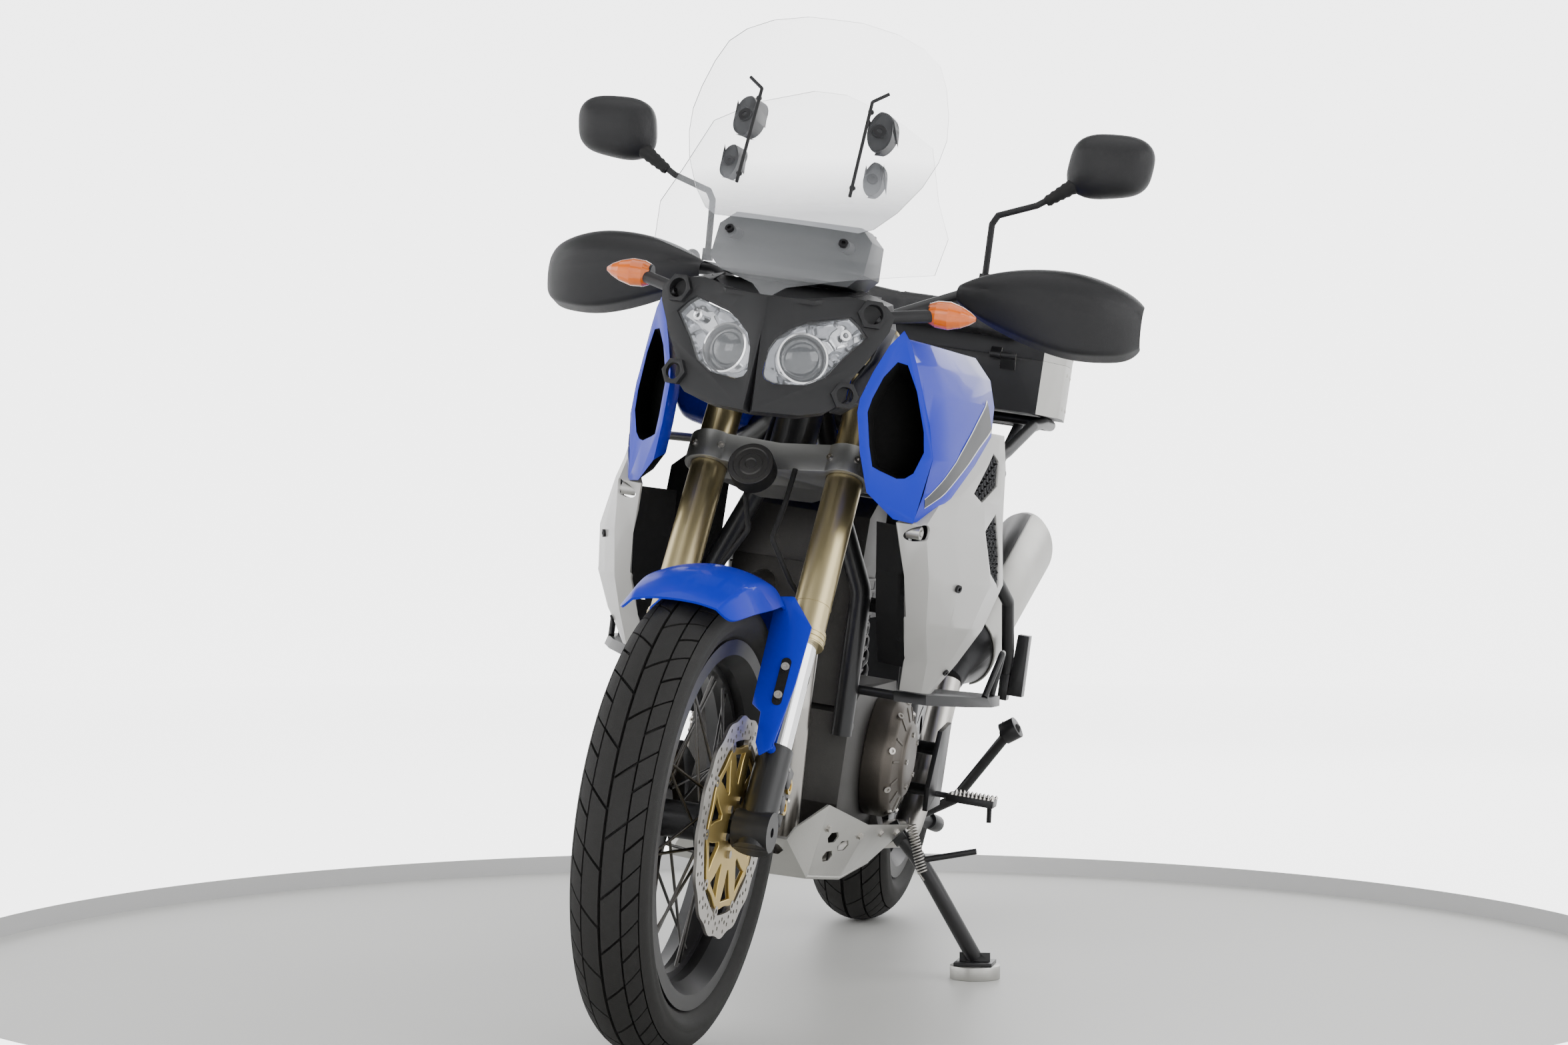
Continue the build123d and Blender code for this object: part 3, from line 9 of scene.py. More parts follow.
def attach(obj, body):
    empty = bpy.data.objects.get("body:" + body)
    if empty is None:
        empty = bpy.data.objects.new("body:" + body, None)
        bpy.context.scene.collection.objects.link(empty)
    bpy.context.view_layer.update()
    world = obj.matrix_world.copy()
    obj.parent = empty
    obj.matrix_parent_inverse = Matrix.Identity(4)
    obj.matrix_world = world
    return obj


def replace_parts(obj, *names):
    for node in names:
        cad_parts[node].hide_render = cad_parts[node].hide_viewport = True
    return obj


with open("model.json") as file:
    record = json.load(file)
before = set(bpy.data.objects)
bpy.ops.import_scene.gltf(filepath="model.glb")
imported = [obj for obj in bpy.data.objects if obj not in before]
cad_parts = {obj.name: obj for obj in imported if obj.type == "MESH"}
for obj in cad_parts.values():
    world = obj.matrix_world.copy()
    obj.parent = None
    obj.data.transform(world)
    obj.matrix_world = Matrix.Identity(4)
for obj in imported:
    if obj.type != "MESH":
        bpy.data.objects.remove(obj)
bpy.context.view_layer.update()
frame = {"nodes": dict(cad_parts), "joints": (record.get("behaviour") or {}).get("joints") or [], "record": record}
nodes = frame["nodes"]
joints = {j["name"]: j for j in frame["joints"]}
bodyOf = {n: b for b, members in frame["record"]["behaviour"]["bodies"].items() for n in members}
slotOf = {s["node"]: s["material_slot"] for s in frame["record"]["subparts"]}
scene = bpy.context.scene
machine = {"rake": math.radians(28), "wheelbase": 1.540, "frontRadius": 0.329, "rearRadius": 0.321}
sides = ((1, "Left"), (-1, "Right"))  # left is +Y
xAxis, yAxis, zAxis = Vector((1, 0, 0)), Vector((0, 1, 0)), Vector((0, 0, 1))
mm = Matrix.Scale(0.001, 4)
flip = Matrix.Scale(-1, 4, yAxis)


def axesMatrix(x, y, z, origin):
    m = Matrix((x, y, z)).transposed().to_4x4()
    m.translation = origin
    return m


def jointLine(name):  # a joint's point and its axis
    return Vector(joints[name]["pos_m"]), Vector(joints[name]["axis"]).normalized()


def raked(ahead, up):  # level axes from the steering's own
    lean, rise = math.sin(machine["rake"]), math.cos(machine["rake"])
    return ahead * rise - up * lean, ahead * lean + up * rise


# places: the leaning machine's axes, the wheels' and the steering's
rearAxle, rearAxis = jointLine("rear_wheel_spin")
frontAxle, frontAxis = jointLine("front_wheel_spin")
steerPoint, steerAxis = jointLine("steering_turn")
bikeX, bikeZ = raked(rearAxis.cross(steerAxis).normalized(), steerAxis)
bike = axesMatrix(bikeX, rearAxis, bikeZ, rearAxle - bikeZ * machine["rearRadius"])
rearWheel = axesMatrix(bikeX, rearAxis, bikeZ, rearAxle)
steerX = frontAxis.cross(steerAxis).normalized()
steer = axesMatrix(steerX, frontAxis, steerAxis, steerPoint - steerAxis)
frontX, frontZ = raked(steerX, steerAxis)
frontWheel = axesMatrix(frontX, frontAxis, frontZ, frontAxle)
# the machine's axes turned with the steering, for what rides on the handlebar
turned = axesMatrix(frontX, frontAxis, frontZ,
                    frontAxle - frontX * machine["wheelbase"] - frontZ * machine["frontRadius"])


def at(place, x, y, z):  # a point given in millimetres in one of those places
    return place @ Vector((x / 1000, y / 1000, z / 1000))


def within(place):  # turns a point of the frame into millimetres in a place
    back = place.inverted()
    return lambda point: (back @ Vector(point)) * 1000


def halfBike(side):  # the machine's axes, mirrored for the right side
    return bike @ (flip if side < 0 else Matrix.Identity(4))


inBike, inSteer = within(bike), within(steer)


def addNode(tree, kind, inputs=(), **settings):
    made = tree.nodes.new("ShaderNode" + kind)
    for key, value in settings.items():
        setattr(made, key, value)
    for key, value in dict(inputs).items():
        made.inputs[key].default_value = value
    return made


def wire(tree, *pairs):  # each pair is an output and the input that it feeds
    for out, into in pairs:
        tree.links.new(out, into)


# colour and roughness that vary in patches, with a fine grain as bump
def surfaceGroup():
    group = bpy.data.node_groups.new("surfaceDetail", "ShaderNodeTree")
    values = {"Color": (0.5, 0.5, 0.5, 1), "Dark": (0.3, 0.3, 0.3, 1), "Patch Scale": 6, "Patch Amount": 0.3,
              "Grain Scale": 900, "Grain Depth": 0.2, "Roughness": 0.4, "Roughness Spread": 0.1}
    for name, value in values.items():
        kind = "NodeSocketColor" if isinstance(value, tuple) else "NodeSocketFloat"
        group.interface.new_socket(name, in_out="INPUT", socket_type=kind).default_value = value
    for name, kind in (("Color", "Color"), ("Roughness", "Float"), ("Normal", "Vector")):
        group.interface.new_socket(name, in_out="OUTPUT", socket_type="NodeSocket" + kind)
    start, end = group.nodes.new("NodeGroupInput").outputs, group.nodes.new("NodeGroupOutput").inputs
    place = addNode(group, "TexCoord").outputs["Object"]
    patch, grain = addNode(group, "TexNoise", {"Detail": 5}), addNode(group, "TexNoise", {"Detail": 3})
    amount = addNode(group, "Math", operation="MULTIPLY")
    spread = addNode(group, "Math", operation="MULTIPLY_ADD")
    mix, bump = addNode(group, "Mix", data_type="RGBA"), addNode(group, "Bump", {"Distance": 0.0006})
    wire(group, (place, patch.inputs["Vector"]), (start["Patch Scale"], patch.inputs["Scale"]),
         (place, grain.inputs["Vector"]), (start["Grain Scale"], grain.inputs["Scale"]),
         (patch.outputs["Fac"], amount.inputs[0]), (start["Patch Amount"], amount.inputs[1]),
         (amount.outputs[0], mix.inputs["Factor"]), (start["Color"], mix.inputs[6]),
         (start["Dark"], mix.inputs[7]), (mix.outputs[2], end["Color"]),
         (patch.outputs["Fac"], spread.inputs[0]), (start["Roughness Spread"], spread.inputs[1]),
         (start["Roughness"], spread.inputs[2]), (spread.outputs[0], end["Roughness"]),
         (start["Grain Depth"], bump.inputs["Strength"]), (grain.outputs["Fac"], bump.inputs["Height"]),
         (bump.outputs["Normal"], end["Normal"]))
    return group


surfaceDetail = surfaceGroup()


def plainMaterial(name):
    made = bpy.data.materials.new(name)
    made.use_nodes = True
    return made, made.node_tree, made.node_tree.nodes["Principled BSDF"].inputs


# color and dark are the two ends of its patches
def material(name, color, dark, rough=0.4, spread=0.08, metal=0.0, coat=0.0, patch=6, amount=0.35, grain=900,
             depth=0.15, **extra):
    made, tree, shader = plainMaterial(name)
    detail = addNode(tree, "Group", {
        "Color": (*color, 1), "Dark": (*dark, 1), "Patch Scale": patch, "Patch Amount": amount,
        "Grain Scale": grain, "Grain Depth": depth, "Roughness": rough - spread / 2, "Roughness Spread": spread,
    }, node_tree=surfaceDetail)
    wire(tree, (detail.outputs["Color"], shader["Base Color"]), (detail.outputs["Normal"], shader["Normal"]),
         (detail.outputs["Roughness"], shader["Roughness"]))
    extra.update(Metallic=metal, Coat_Weight=coat, Coat_Roughness=0.04)
    for key, value in extra.items():
        shader[key.replace("_", " ")].default_value = value
    return made


bluePaint = material("bluePaint", (0.005, 0.020, 0.46), (0.002, 0.009, 0.30), rough=0.36, coat=0.26, patch=3,
                     amount=0.5, grain=5200, depth=0.05, Specular_IOR_Level=0.1, Coat_IOR=1.33)
silverPaint = material("silverPaint", (0.44, 0.435, 0.42), (0.36, 0.355, 0.34), rough=0.36, metal=0.4, coat=0.5,
                       patch=4, amount=0.4, grain=5200, depth=0.05)
framePaint = material("framePaint", (0.009, 0.009, 0.010), (0.018, 0.018, 0.019), rough=0.38, coat=0.15,
                      grain=1400, depth=0.12, Specular_IOR_Level=0.35)
blackPlastic = material("blackPlastic", (0.008, 0.008, 0.009), (0.014, 0.014, 0.015), rough=0.46, grain=1500,
                        depth=0.35, Specular_IOR_Level=0.32)
softBlack = material("softBlack", (0.004, 0.004, 0.0045), (0.009, 0.009, 0.009), rough=0.66, grain=1100,
                     depth=0.5, Specular_IOR_Level=0.2)
greyPlastic = material("greyPlastic", (0.035, 0.037, 0.041), (0.022, 0.023, 0.026), rough=0.5, grain=1500,
                       depth=0.06)
netPlastic = material("netPlastic", (0.045, 0.046, 0.050), (0.030, 0.031, 0.034), grain=1500, depth=0.2)
castAlloy = material("castAlloy", (0.060, 0.058, 0.055), (0.028, 0.027, 0.026), rough=0.5, metal=0.8, grain=700,
                     depth=0.5, patch=14)
clampAlloy = material("clampAlloy", (0.27, 0.27, 0.26), (0.17, 0.17, 0.165), rough=0.42, metal=0.85, grain=800,
                      depth=0.2, patch=14)
bronzeCast = material("bronzeCast", (0.115, 0.102, 0.088), (0.055, 0.05, 0.044), rough=0.42, metal=0.75,
                      grain=800, depth=0.3, patch=16)
brushedAlloy = material("brushedAlloy", (0.50, 0.495, 0.47), (0.33, 0.325, 0.31), rough=0.38, metal=0.95,
                        grain=420, depth=0.3, patch=22)
darkAlloy = material("darkAlloy", (0.022, 0.022, 0.024), (0.045, 0.044, 0.043), rough=0.36, metal=0.7, patch=12)
steel = material("steel", (0.52, 0.50, 0.47), (0.36, 0.34, 0.31), rough=0.3, metal=1.0, grain=1000, depth=0.12,
                 patch=18)
discSteel = material("discSteel", (0.55, 0.53, 0.50), (0.40, 0.38, 0.35), rough=0.34, metal=1.0, grain=1600,
                     depth=0.2, patch=40)
spokeSteel = material("spokeSteel", (0.10, 0.098, 0.095), (0.06, 0.058, 0.056), rough=0.32, metal=1.0,
                      grain=1000, depth=0.1)
chrome = material("chrome", (0.86, 0.86, 0.87), (0.75, 0.75, 0.76), rough=0.07, spread=0.04, metal=1.0,
                  grain=300, depth=0.02)
goldTube = material("goldTube", (0.50, 0.42, 0.235), (0.40, 0.33, 0.17), rough=0.3, metal=0.95, grain=1200,
                    depth=0.08, patch=8)
goldPart = material("goldPart", (0.62, 0.46, 0.15), (0.45, 0.32, 0.10), rough=0.33, metal=0.95, depth=0.12,
                    patch=25)
tyreRubber = material("tyreRubber", (0.009, 0.0088, 0.0085), (0.020, 0.019, 0.0175), rough=0.72, spread=0.14,
                      patch=9, amount=0.6, grain=650, depth=0.7, Specular_IOR_Level=0.3)
rubber = material("rubber", (0.006, 0.006, 0.006), (0.013, 0.013, 0.013), rough=0.62, depth=0.4,
                  Specular_IOR_Level=0.3)
seatVinyl = material("seatVinyl", (0.009, 0.009, 0.0095), (0.018, 0.018, 0.0185), rough=0.5, grain=480,
                     depth=0.9, patch=14)
amberLens = material("amberLens", (0.80, 0.17, 0.004), (0.50, 0.07, 0.002), rough=0.14, coat=0.6, patch=60,
                     amount=0.8, grain=260, depth=0.4, Transmission_Weight=0.08)
redLens = material("redLens", (0.45, 0.01, 0.01), (0.30, 0.0, 0.0), rough=0.15, coat=1.0, grain=300, depth=0.5,
                   Transmission_Weight=0.3)
# near-black with almost no reflection: painted shade for the scoops' insides, the grille backing and the duct's
# sheet
paintedShade = material("paintedShade", (0.002, 0.002, 0.002), (0.004, 0.004, 0.004), rough=0.8, grain=800, depth=0.3,
                  Specular_IOR_Level=0.05)
screenEdge = material("screenEdge", (0.07, 0.075, 0.08), (0.05, 0.055, 0.06), rough=0.15, grain=300, depth=0.02)
lampBall = material("lampBall", (0.050, 0.055, 0.062), (0.03, 0.034, 0.04), rough=0.03, spread=0.02, metal=0.25,
                    coat=1.0, grain=200, depth=0.01, patch=30)
reflector = material("reflector", (0.62, 0.63, 0.65), (0.34, 0.35, 0.37), rough=0.10, spread=0.05, metal=1.0,
                     grain=160, depth=0.05, patch=45, amount=0.6)
stripeGrey = material("stripeGrey", (0.038, 0.040, 0.044), (0.028, 0.029, 0.033), rough=0.36, coat=0.2,
                      grain=3000, depth=0.03, Specular_IOR_Level=0.15)
stripeWhite = material("stripeWhite", (0.72, 0.72, 0.70), (0.64, 0.64, 0.62), rough=0.36, coat=0.2, grain=3000,
                       depth=0.03)


# thin clear plastic, see-through, more opaque and brighter at glancing angles as a painted sheen; grey darkens it
# below a height
def clearSheet(name, tint, alpha, rough=0.03, most=0.4, grey=None):
    made, tree, shader = plainMaterial(name)
    for key, value in {"Base Color": (*tint, 1), "Roughness": rough, "IOR": 1.5}.items():
        shader[key].default_value = value
    # opacity that grows towards glancing angles: a painted sheen
    edge = addNode(tree, "LayerWeight", {"Blend": 0.22})
    reach = addNode(tree, "MapRange", {"To Min": alpha, "To Max": most})
    wire(tree, (edge.outputs["Facing"], reach.inputs["Value"]))
    if grey is None:
        wire(tree, (reach.outputs["Result"], shader["Alpha"]))
        return made
    place, split = addNode(tree, "TexCoord"), addNode(tree, "SeparateXYZ")
    fade = addNode(tree, "MapRange", {"From Min": grey["low"], "From Max": grey["high"],
                                      "To Min": grey["amount"], "To Max": 0.0})
    larger = addNode(tree, "Math", operation="MAXIMUM")
    wire(tree, (place.outputs["Object"], split.inputs["Vector"]), (split.outputs["Z"], fade.inputs["Value"]),
         (fade.outputs["Result"], larger.inputs[0]), (reach.outputs["Result"], larger.inputs[1]),
         (larger.outputs[0], shader["Alpha"]))
    return made


lowScreen = clearSheet("lowScreen", (0.80, 0.82, 0.84), 0.03)
highScreen = clearSheet("highScreen", (0.40, 0.41, 0.43), 0.02,
                        grey={"low": 1.17, "high": 1.26, "amount": 0.55})
lampGlass = clearSheet("lampGlass", (0.92, 0.94, 0.96), 0.035, rough=0.02, most=0.18)
print("stage: materials ready")


def outward(bm):
    bmesh.ops.recalc_face_normals(bm, faces=bm.faces)


def move(bm, matrix, verts=None):
    bmesh.ops.transform(bm, matrix=matrix, verts=verts or bm.verts)


def shift(bm, step, verts=None):
    bmesh.ops.translate(bm, vec=step, verts=verts or bm.verts)


def vertsOf(made):  # the vertices that an operator gives back
    return [v for v in made["geom"] if isinstance(v, bmesh.types.BMVert)]


def bevelled(bm, edges, width, segments=2, clamp=False):
    bmesh.ops.bevel(bm, geom=edges, offset=width, segments=segments, profile=0.5, affect="EDGES",
                    clamp_overlap=clamp, material=-1)


def meshOf(bm, name="held"):  # the bmesh as a mesh; the bmesh is used up
    mesh = bpy.data.meshes.new(name)
    bm.to_mesh(mesh)
    bm.free()
    return mesh


def added(bm, mesh):  # puts a mesh in and gives its vertices
    before = len(bm.verts)
    bm.from_mesh(mesh)
    bm.verts.ensure_lookup_table()
    return bm.verts[before:]


def linked(name, data):
    made = bpy.data.objects.new(name, data)
    scene.collection.objects.link(made)
    return made


def evaluated(holder):  # an object's mesh after its modifiers
    bpy.context.view_layer.update()
    return bpy.data.meshes.new_from_object(holder.evaluated_get(bpy.context.evaluated_depsgraph_get()))


def bmeshOf(mesh):
    bm = bmesh.new()
    bm.from_mesh(mesh)
    return bm


# makes a piece from a bmesh, smooth up to an angle, that rides on a body
def keep(bm, name, body, look, slot, smooth=38):
    mesh = meshOf(bm, name)
    old = mesh.attributes.get("custom_normal")
    if old:
        mesh.attributes.remove(old)
    piece = linked(name, mesh)
    for entry in (look if isinstance(look, list) else [look]):
        mesh.materials.append(entry)
    mesh.shade_smooth()
    mesh.set_sharp_from_angle(angle=math.radians(smooth))
    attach(piece, body)
    return piece


def copyOf(node):
    bm = bmeshOf(nodes[node].data)
    bmesh.ops.remove_doubles(bm, verts=bm.verts, dist=2e-5)
    bmesh.ops.dissolve_limit(bm, angle_limit=math.radians(1.2), verts=bm.verts, edges=bm.edges)
    for face in bm.faces:
        face.material_index = 0
    return bm


def soften(bm, width, angle=28, segments=2):  # rounds each edge sharper than the angle
    sharp = [e for e in bm.edges if len(e.link_faces) == 2 and e.calc_face_angle(0) > math.radians(angle)]
    bevelled(bm, sharp, width, segments, clamp=True)


# a node with rounded edges and its finish; paint picks the material of a face
def dressed(node, look, width, paint=None):
    bm = copyOf(node)
    soften(bm, width)
    outward(bm)
    if paint:
        for face in bm.faces:
            face.material_index = paint(face.calc_center_median(), face.normal)
    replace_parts(keep(bm, node + "Skin", bodyOf[node], look, slotOf[node]), node)


# a node that stays as it is gets its finish
def finish(node, *looks, paint=None):
    mesh = nodes[node].data
    mesh.materials.clear()
    for look in looks:
        mesh.materials.append(look)
    for face in mesh.polygons:
        face.material_index = paint(face.center, face.normal) if paint else 0


# camera and lights
view = {"place": (4.84656, 0.88307, 0.71917), "heading": (-0.978, -0.210), "tilt": math.radians(0.27),
        "lens": 69.18, "sensor": 36}
camera = linked("camera", bpy.data.cameras.new("camera"))
sight = Vector((*(c * math.cos(view["tilt"]) for c in view["heading"]), math.sin(view["tilt"])))
camera.location = view["place"]
camera.rotation_euler = sight.to_track_quat("-Z", "Y").to_euler()
camera.data.lens, camera.data.sensor_width, camera.data.clip_start = view["lens"], view["sensor"], 0.05
scene.camera = camera
studioLights = {  # place, aim, size in metres, watts
    "ceilingLight": ((0.6, 0.2, 4.2), (0.1, 0, 0.4), (5, 4), 95),
    "frontLight": ((4.4, -1.8, 2.6), (0.2, 0, 0.8), (2.2, 1.8), 26),
    "leftLight": ((1.2, 4.4, 2.4), (0.2, 0, 0.7), (3.4, 2.4), 52),
    "rightLight": ((0.4, -4.4, 2.2), (0.2, 0, 0.7), (3.4, 2.4), 40),
    "backLight": ((-4.4, 0.6, 2.6), (0, 0, 0.8), (3.4, 2.4), 60)}
for name, (place, aim, size, power) in studioLights.items():
    light = bpy.data.lights.new(name, "AREA")
    light.shape, light.energy = "RECTANGLE", power
    light.size, light.size_y = size
    holder = linked(name, light)
    holder.location = place
    holder.rotation_euler = (Vector(aim) - Vector(place)).to_track_quat("-Z", "Y").to_euler()
world = bpy.data.worlds.new("studio")
world.use_nodes = True
sky = world.node_tree.nodes["Background"].inputs
sky["Color"].default_value = (0.95, 0.96, 0.97, 1)
sky["Strength"].default_value = 0.35
scene.world = world

# a turntable sunk in a white floor; the wall glows more for the camera than on the machine
room = {"middle": (-0.121, -0.174), "table": 1.452, "rim": 0.036, "radius": 9.0, "height": 7.0,
        "glow": 0.6, "seenGlow": 3.2}
floorLook = material("floorLook", (0.62, 0.62, 0.60), (0.56, 0.56, 0.545), rough=0.42, grain=60, depth=0.02,
                     patch=0.8)
wallLook = material("wallLook", (0.9, 0.9, 0.9), (0.86, 0.86, 0.86), rough=0.7, grain=20, depth=0.01, patch=0.5,
                    Emission_Color=(1, 1, 1, 1))
skirtLook = material("skirtLook", (0.62, 0.62, 0.62), (0.56, 0.56, 0.56), rough=0.6, grain=20, depth=0.01,
                     patch=0.5)
seen = addNode(wallLook.node_tree, "LightPath")
bright = addNode(wallLook.node_tree, "MapRange", {"To Min": room["glow"], "To Max": room["seenGlow"]})
wire(wallLook.node_tree, (seen.outputs["Is Camera Ray"], bright.inputs["Value"]),
     (bright.outputs["Result"], wallLook.node_tree.nodes["Principled BSDF"].inputs["Emission Strength"]))


# a stage surface through circles of given radius and height
def stagePart(name, look, rings):
    bm = bmesh.new()
    middle = Vector((*room["middle"], 0))
    bmesh.ops.create_circle(bm, segments=128, radius=rings[0][0], cap_ends=len(rings) == 1)
    shift(bm, (*room["middle"], rings[0][1]))
    edge = bm.edges[:]
    for (ra, za), (rb, zb) in zip(rings, rings[1:]):
        made = set(vertsOf(bmesh.ops.extrude_edge_only(bm, edges=edge)))
        for v in made:
            v.co = middle + (v.co - middle) * (rb / ra)
            v.co.z = zb
        edge = [e for e in bm.edges if made.issuperset(e.verts)]
    mesh = meshOf(bm, name)
    mesh.materials.append(look)
    linked(name, mesh)


table, rim = room["table"], room["rim"]
stagePart("turntable", floorLook, [(table, 0)])
stagePart("tableRim", skirtLook, [(table, 0), (table, rim)])
stagePart("whiteFloor", wallLook, [(table, rim), (room["radius"], rim), (room["radius"], room["height"])])
print("stage: camera and light ready")

# steps that many pieces share; their shapes are in millimetres
surfaces = {}


def surfaceOf(node):
    if node not in surfaces:
        bm = bmeshOf(nodes[node].data)
        surfaces[node] = BVHTree.FromBMesh(bm)
        bm.free()
    return surfaces[node]


# where a line into a node meets it: a place there with Z along the surface's normal
def seat(node, place, point, direction, sink=0.0):
    run = (place.to_3x3() @ Vector(direction)).normalized()
    found, normal, *_ = surfaceOf(node).ray_cast(at(place, *point), run)
    if found is None:
        raise ValueError(f"nothing of {node} at {point}")
    if normal.dot(run) > 0:
        normal = -normal
    turn = normal.to_track_quat("Z", "Y").to_matrix().to_4x4()
    return Matrix.Translation(found - normal * sink / 1000) @ turn


def inward(side, x, z, reach=400):  # a point beside the machine and the way in from there
    return (x, side * reach, z), (0, -side, 0)


def shape(make):  # a small shape kept for stamping
    bm = bmesh.new()
    make(bm)
    outward(bm)
    return meshOf(bm, "stampShape")


def stamp(bm, mesh, place, scale=1.0):
    move(bm, place @ mm @ Matrix.Scale(scale, 4), added(bm, mesh))


# turns a line of (along, radius) points about an axis through the origin
def spun(bm, profile, steps, axis=yAxis, closed=False):
    out = axis.orthogonal().normalized()
    verts = [bm.verts.new(axis * along + out * radius) for along, radius in profile]
    pairs = list(zip(verts, verts[1:])) + ([(verts[-1], verts[0])] if closed else [])
    edges = [bm.edges.new(pair) for pair in pairs]
    bmesh.ops.spin(bm, geom=verts + edges, cent=(0, 0, 0), axis=axis, angle=math.tau, steps=steps,
                   use_merge=True)
    bmesh.ops.remove_doubles(bm, verts=bm.verts, dist=1e-4)


def looped(bm, points):  # a closed line of edges
    verts = [bm.verts.new(p) for p in points]
    return [bm.edges.new(pair) for pair in zip(verts, verts[1:] + verts[:1])]


# a plate in the XY plane from closed outlines, the first round the others, thickened along Z
def flat(bm, outlines, depth):
    before = len(bm.verts)
    edges = [edge for outline in outlines for edge in looped(bm, [(x, y, 0) for x, y in outline])]
    made = bmesh.ops.triangle_fill(bm, use_beauty=True, use_dissolve=False, edges=edges)
    faces = [f for f in made["geom"] if isinstance(f, bmesh.types.BMFace)]
    shift(bm, (0, 0, depth), vertsOf(bmesh.ops.extrude_face_region(bm, geom=faces)))
    bm.verts.ensure_lookup_table()
    return bm.verts[before:]


def polar(reach, angle):
    return reach * math.cos(angle), reach * math.sin(angle)


def circle(radius, segments, middle=(0, 0), wave=0.0, waves=0):
    points = []
    for k in range(segments):
        a = math.tau * k / segments
        x, y = polar(radius + wave * math.cos(waves * a), a)
        points.append((middle[0] + x, middle[1] + y))
    return points


def clipped(bm, point, normal):  # keeps what lies on the side that the normal points to
    bmesh.ops.bisect_plane(bm, geom=bm.verts[:] + bm.edges[:] + bm.faces[:], plane_co=point, plane_no=normal,
                           clear_inner=True)


def socketScrew(bm):  # round head with a six-sided socket, one in radius
    flat(bm, [circle(1, 20), circle(0.52, 6)], 0.72)
    bmesh.ops.create_circle(bm, cap_ends=True, segments=6, radius=0.53, matrix=Matrix.Translation((0, 0, 0.2)))


def hexHead(bm):  # six-sided head on a flange
    flat(bm, [circle(1.25, 24)], 0.16)
    shift(bm, (0, 0, 0.14), flat(bm, [circle(1, 6)], 0.72))


def domedHead(bm):
    bmesh.ops.create_uvsphere(bm, u_segments=14, v_segments=8, radius=1)
    clipped(bm, (0, 0, 0), zAxis)
    bmesh.ops.scale(bm, vec=(1, 1, 0.55), verts=bm.verts)


screwShape, hexShape, rivetShape = shape(socketScrew), shape(hexHead), shape(domedHead)


# heads seated on nodes; a row gives node, place, point with its direction, and head radius
def fixings(name, body, look, slot, rows, mesh=screwShape):
    bm = bmesh.new()
    for node, place, (point, direction), radius in rows:
        stamp(bm, mesh, seat(node, place, point, direction, 0.15), radius)
    keep(bm, name, body, look, slot, 35)


# panels, covers and castings: finish and edge radius in metres
panels = {
    "side_cowl_left": (silverPaint, 0.0014), "side_cowl_right": (silverPaint, 0.0014),
    "inner_cowls": (softBlack, 0.0012), "nose_fascia": (blackPlastic, 0.0016), "hugger": (blackPlastic, 0.0012),
    "dash_panel": (greyPlastic, 0.003), "engine_case": (castAlloy, 0.003),
    "engine_cover_left": (bronzeCast, 0.003), "clutch_cover_right": (bronzeCast, 0.003),
    "airbox": (blackPlastic, 0.004), "radiator": (softBlack, 0.001), "muffler": (darkAlloy, 0.002),
    "muffler_shield": (brushedAlloy, 0.001), "swing_arm": (framePaint, 0.0025),
    "passenger_hangers": (framePaint, 0.001), "rider_pegs": (darkAlloy, 0.0012),
    "triple_clamps": (clampAlloy, 0.003), "front_calipers": (darkAlloy, 0.002),
    "lower_guards": (framePaint, 0.0015), "side_stand": (framePaint, 0.001),
    "centre_stand": (framePaint, 0.001), "rear_shock": (darkAlloy, 0.0015), "rear_rack": (darkAlloy, 0.001),
    "stand_puck": (brushedAlloy, 0.0015)}
for node, (look, width) in panels.items():
    dressed(node, look, width)
print("stage: panels ready")

# nodes that stay as they are
asTheyAre = {
    "main_frame": framePaint, "subframe": framePaint, "exhaust_headers": steel, "brake_hoses": rubber,
    "fork_tubes": goldTube, "front_rim": darkAlloy, "rear_rim": darkAlloy, "lamp_lenses": lampGlass,
    # the grilles' backing behind the net is painted shade
    "grilles": paintedShade, "horn": softBlack}
for node, look in asTheyAre.items():
    finish(node, look)
hubs = {"front_hub": (frontWheel, 56), "rear_hub": (rearWheel, 82)}  # place, and radius where spokes begin
for node, (place, flange) in hubs.items():
    inHub = within(place)
    finish(node, darkAlloy, spokeSteel, paint=lambda point, normal: int(inHub(point).xz.length > flange))


fork = {"x": 39.5, "y": 104,  # the legs' centre lines, and the height and radius of the tubes' collars
        "collars": [(641, 30.2), (648, 30.6), (655, 30.2), (700, 27.6), (1158, 27.4)]}


def alongBike(normal):
    return bike.to_3x3().inverted() @ normal


def sheetRim(point, normal):
    return int(abs(alongBike(normal).x) < 0.30)


def legTube(point, normal):  # the bright tube above a fork leg's foot
    p = inSteer(point)
    return int(p.z > 474 and math.hypot(p.x - fork["x"], abs(p.y) - fork["y"]) < 21.9)


def gripPart(point, normal):
    p = inSteer(point)
    return int(abs(p.y) > 318 and p.x < -25)


finish("windscreen_lower", lowScreen, screenEdge, paint=sheetRim)
finish("windscreen_upper", highScreen, screenEdge, paint=sheetRim)
finish("fork_legs", framePaint, chrome, paint=legTube)
finish("handlebar", framePaint, rubber, paint=gripPart)
for node in ("indicator_left", "indicator_right"):  # lens on a stalk
    finish(node, amberLens, blackPlastic, paint=lambda point, normal: int(abs(inBike(point).y) < 206))
for node in ("top_case_base", "top_case_lid"):  # bright sides on a dark case
    dressed(node, [blackPlastic, brushedAlloy], 0.003,
            paint=lambda point, normal: int(abs(alongBike(normal).y) > 0.55))

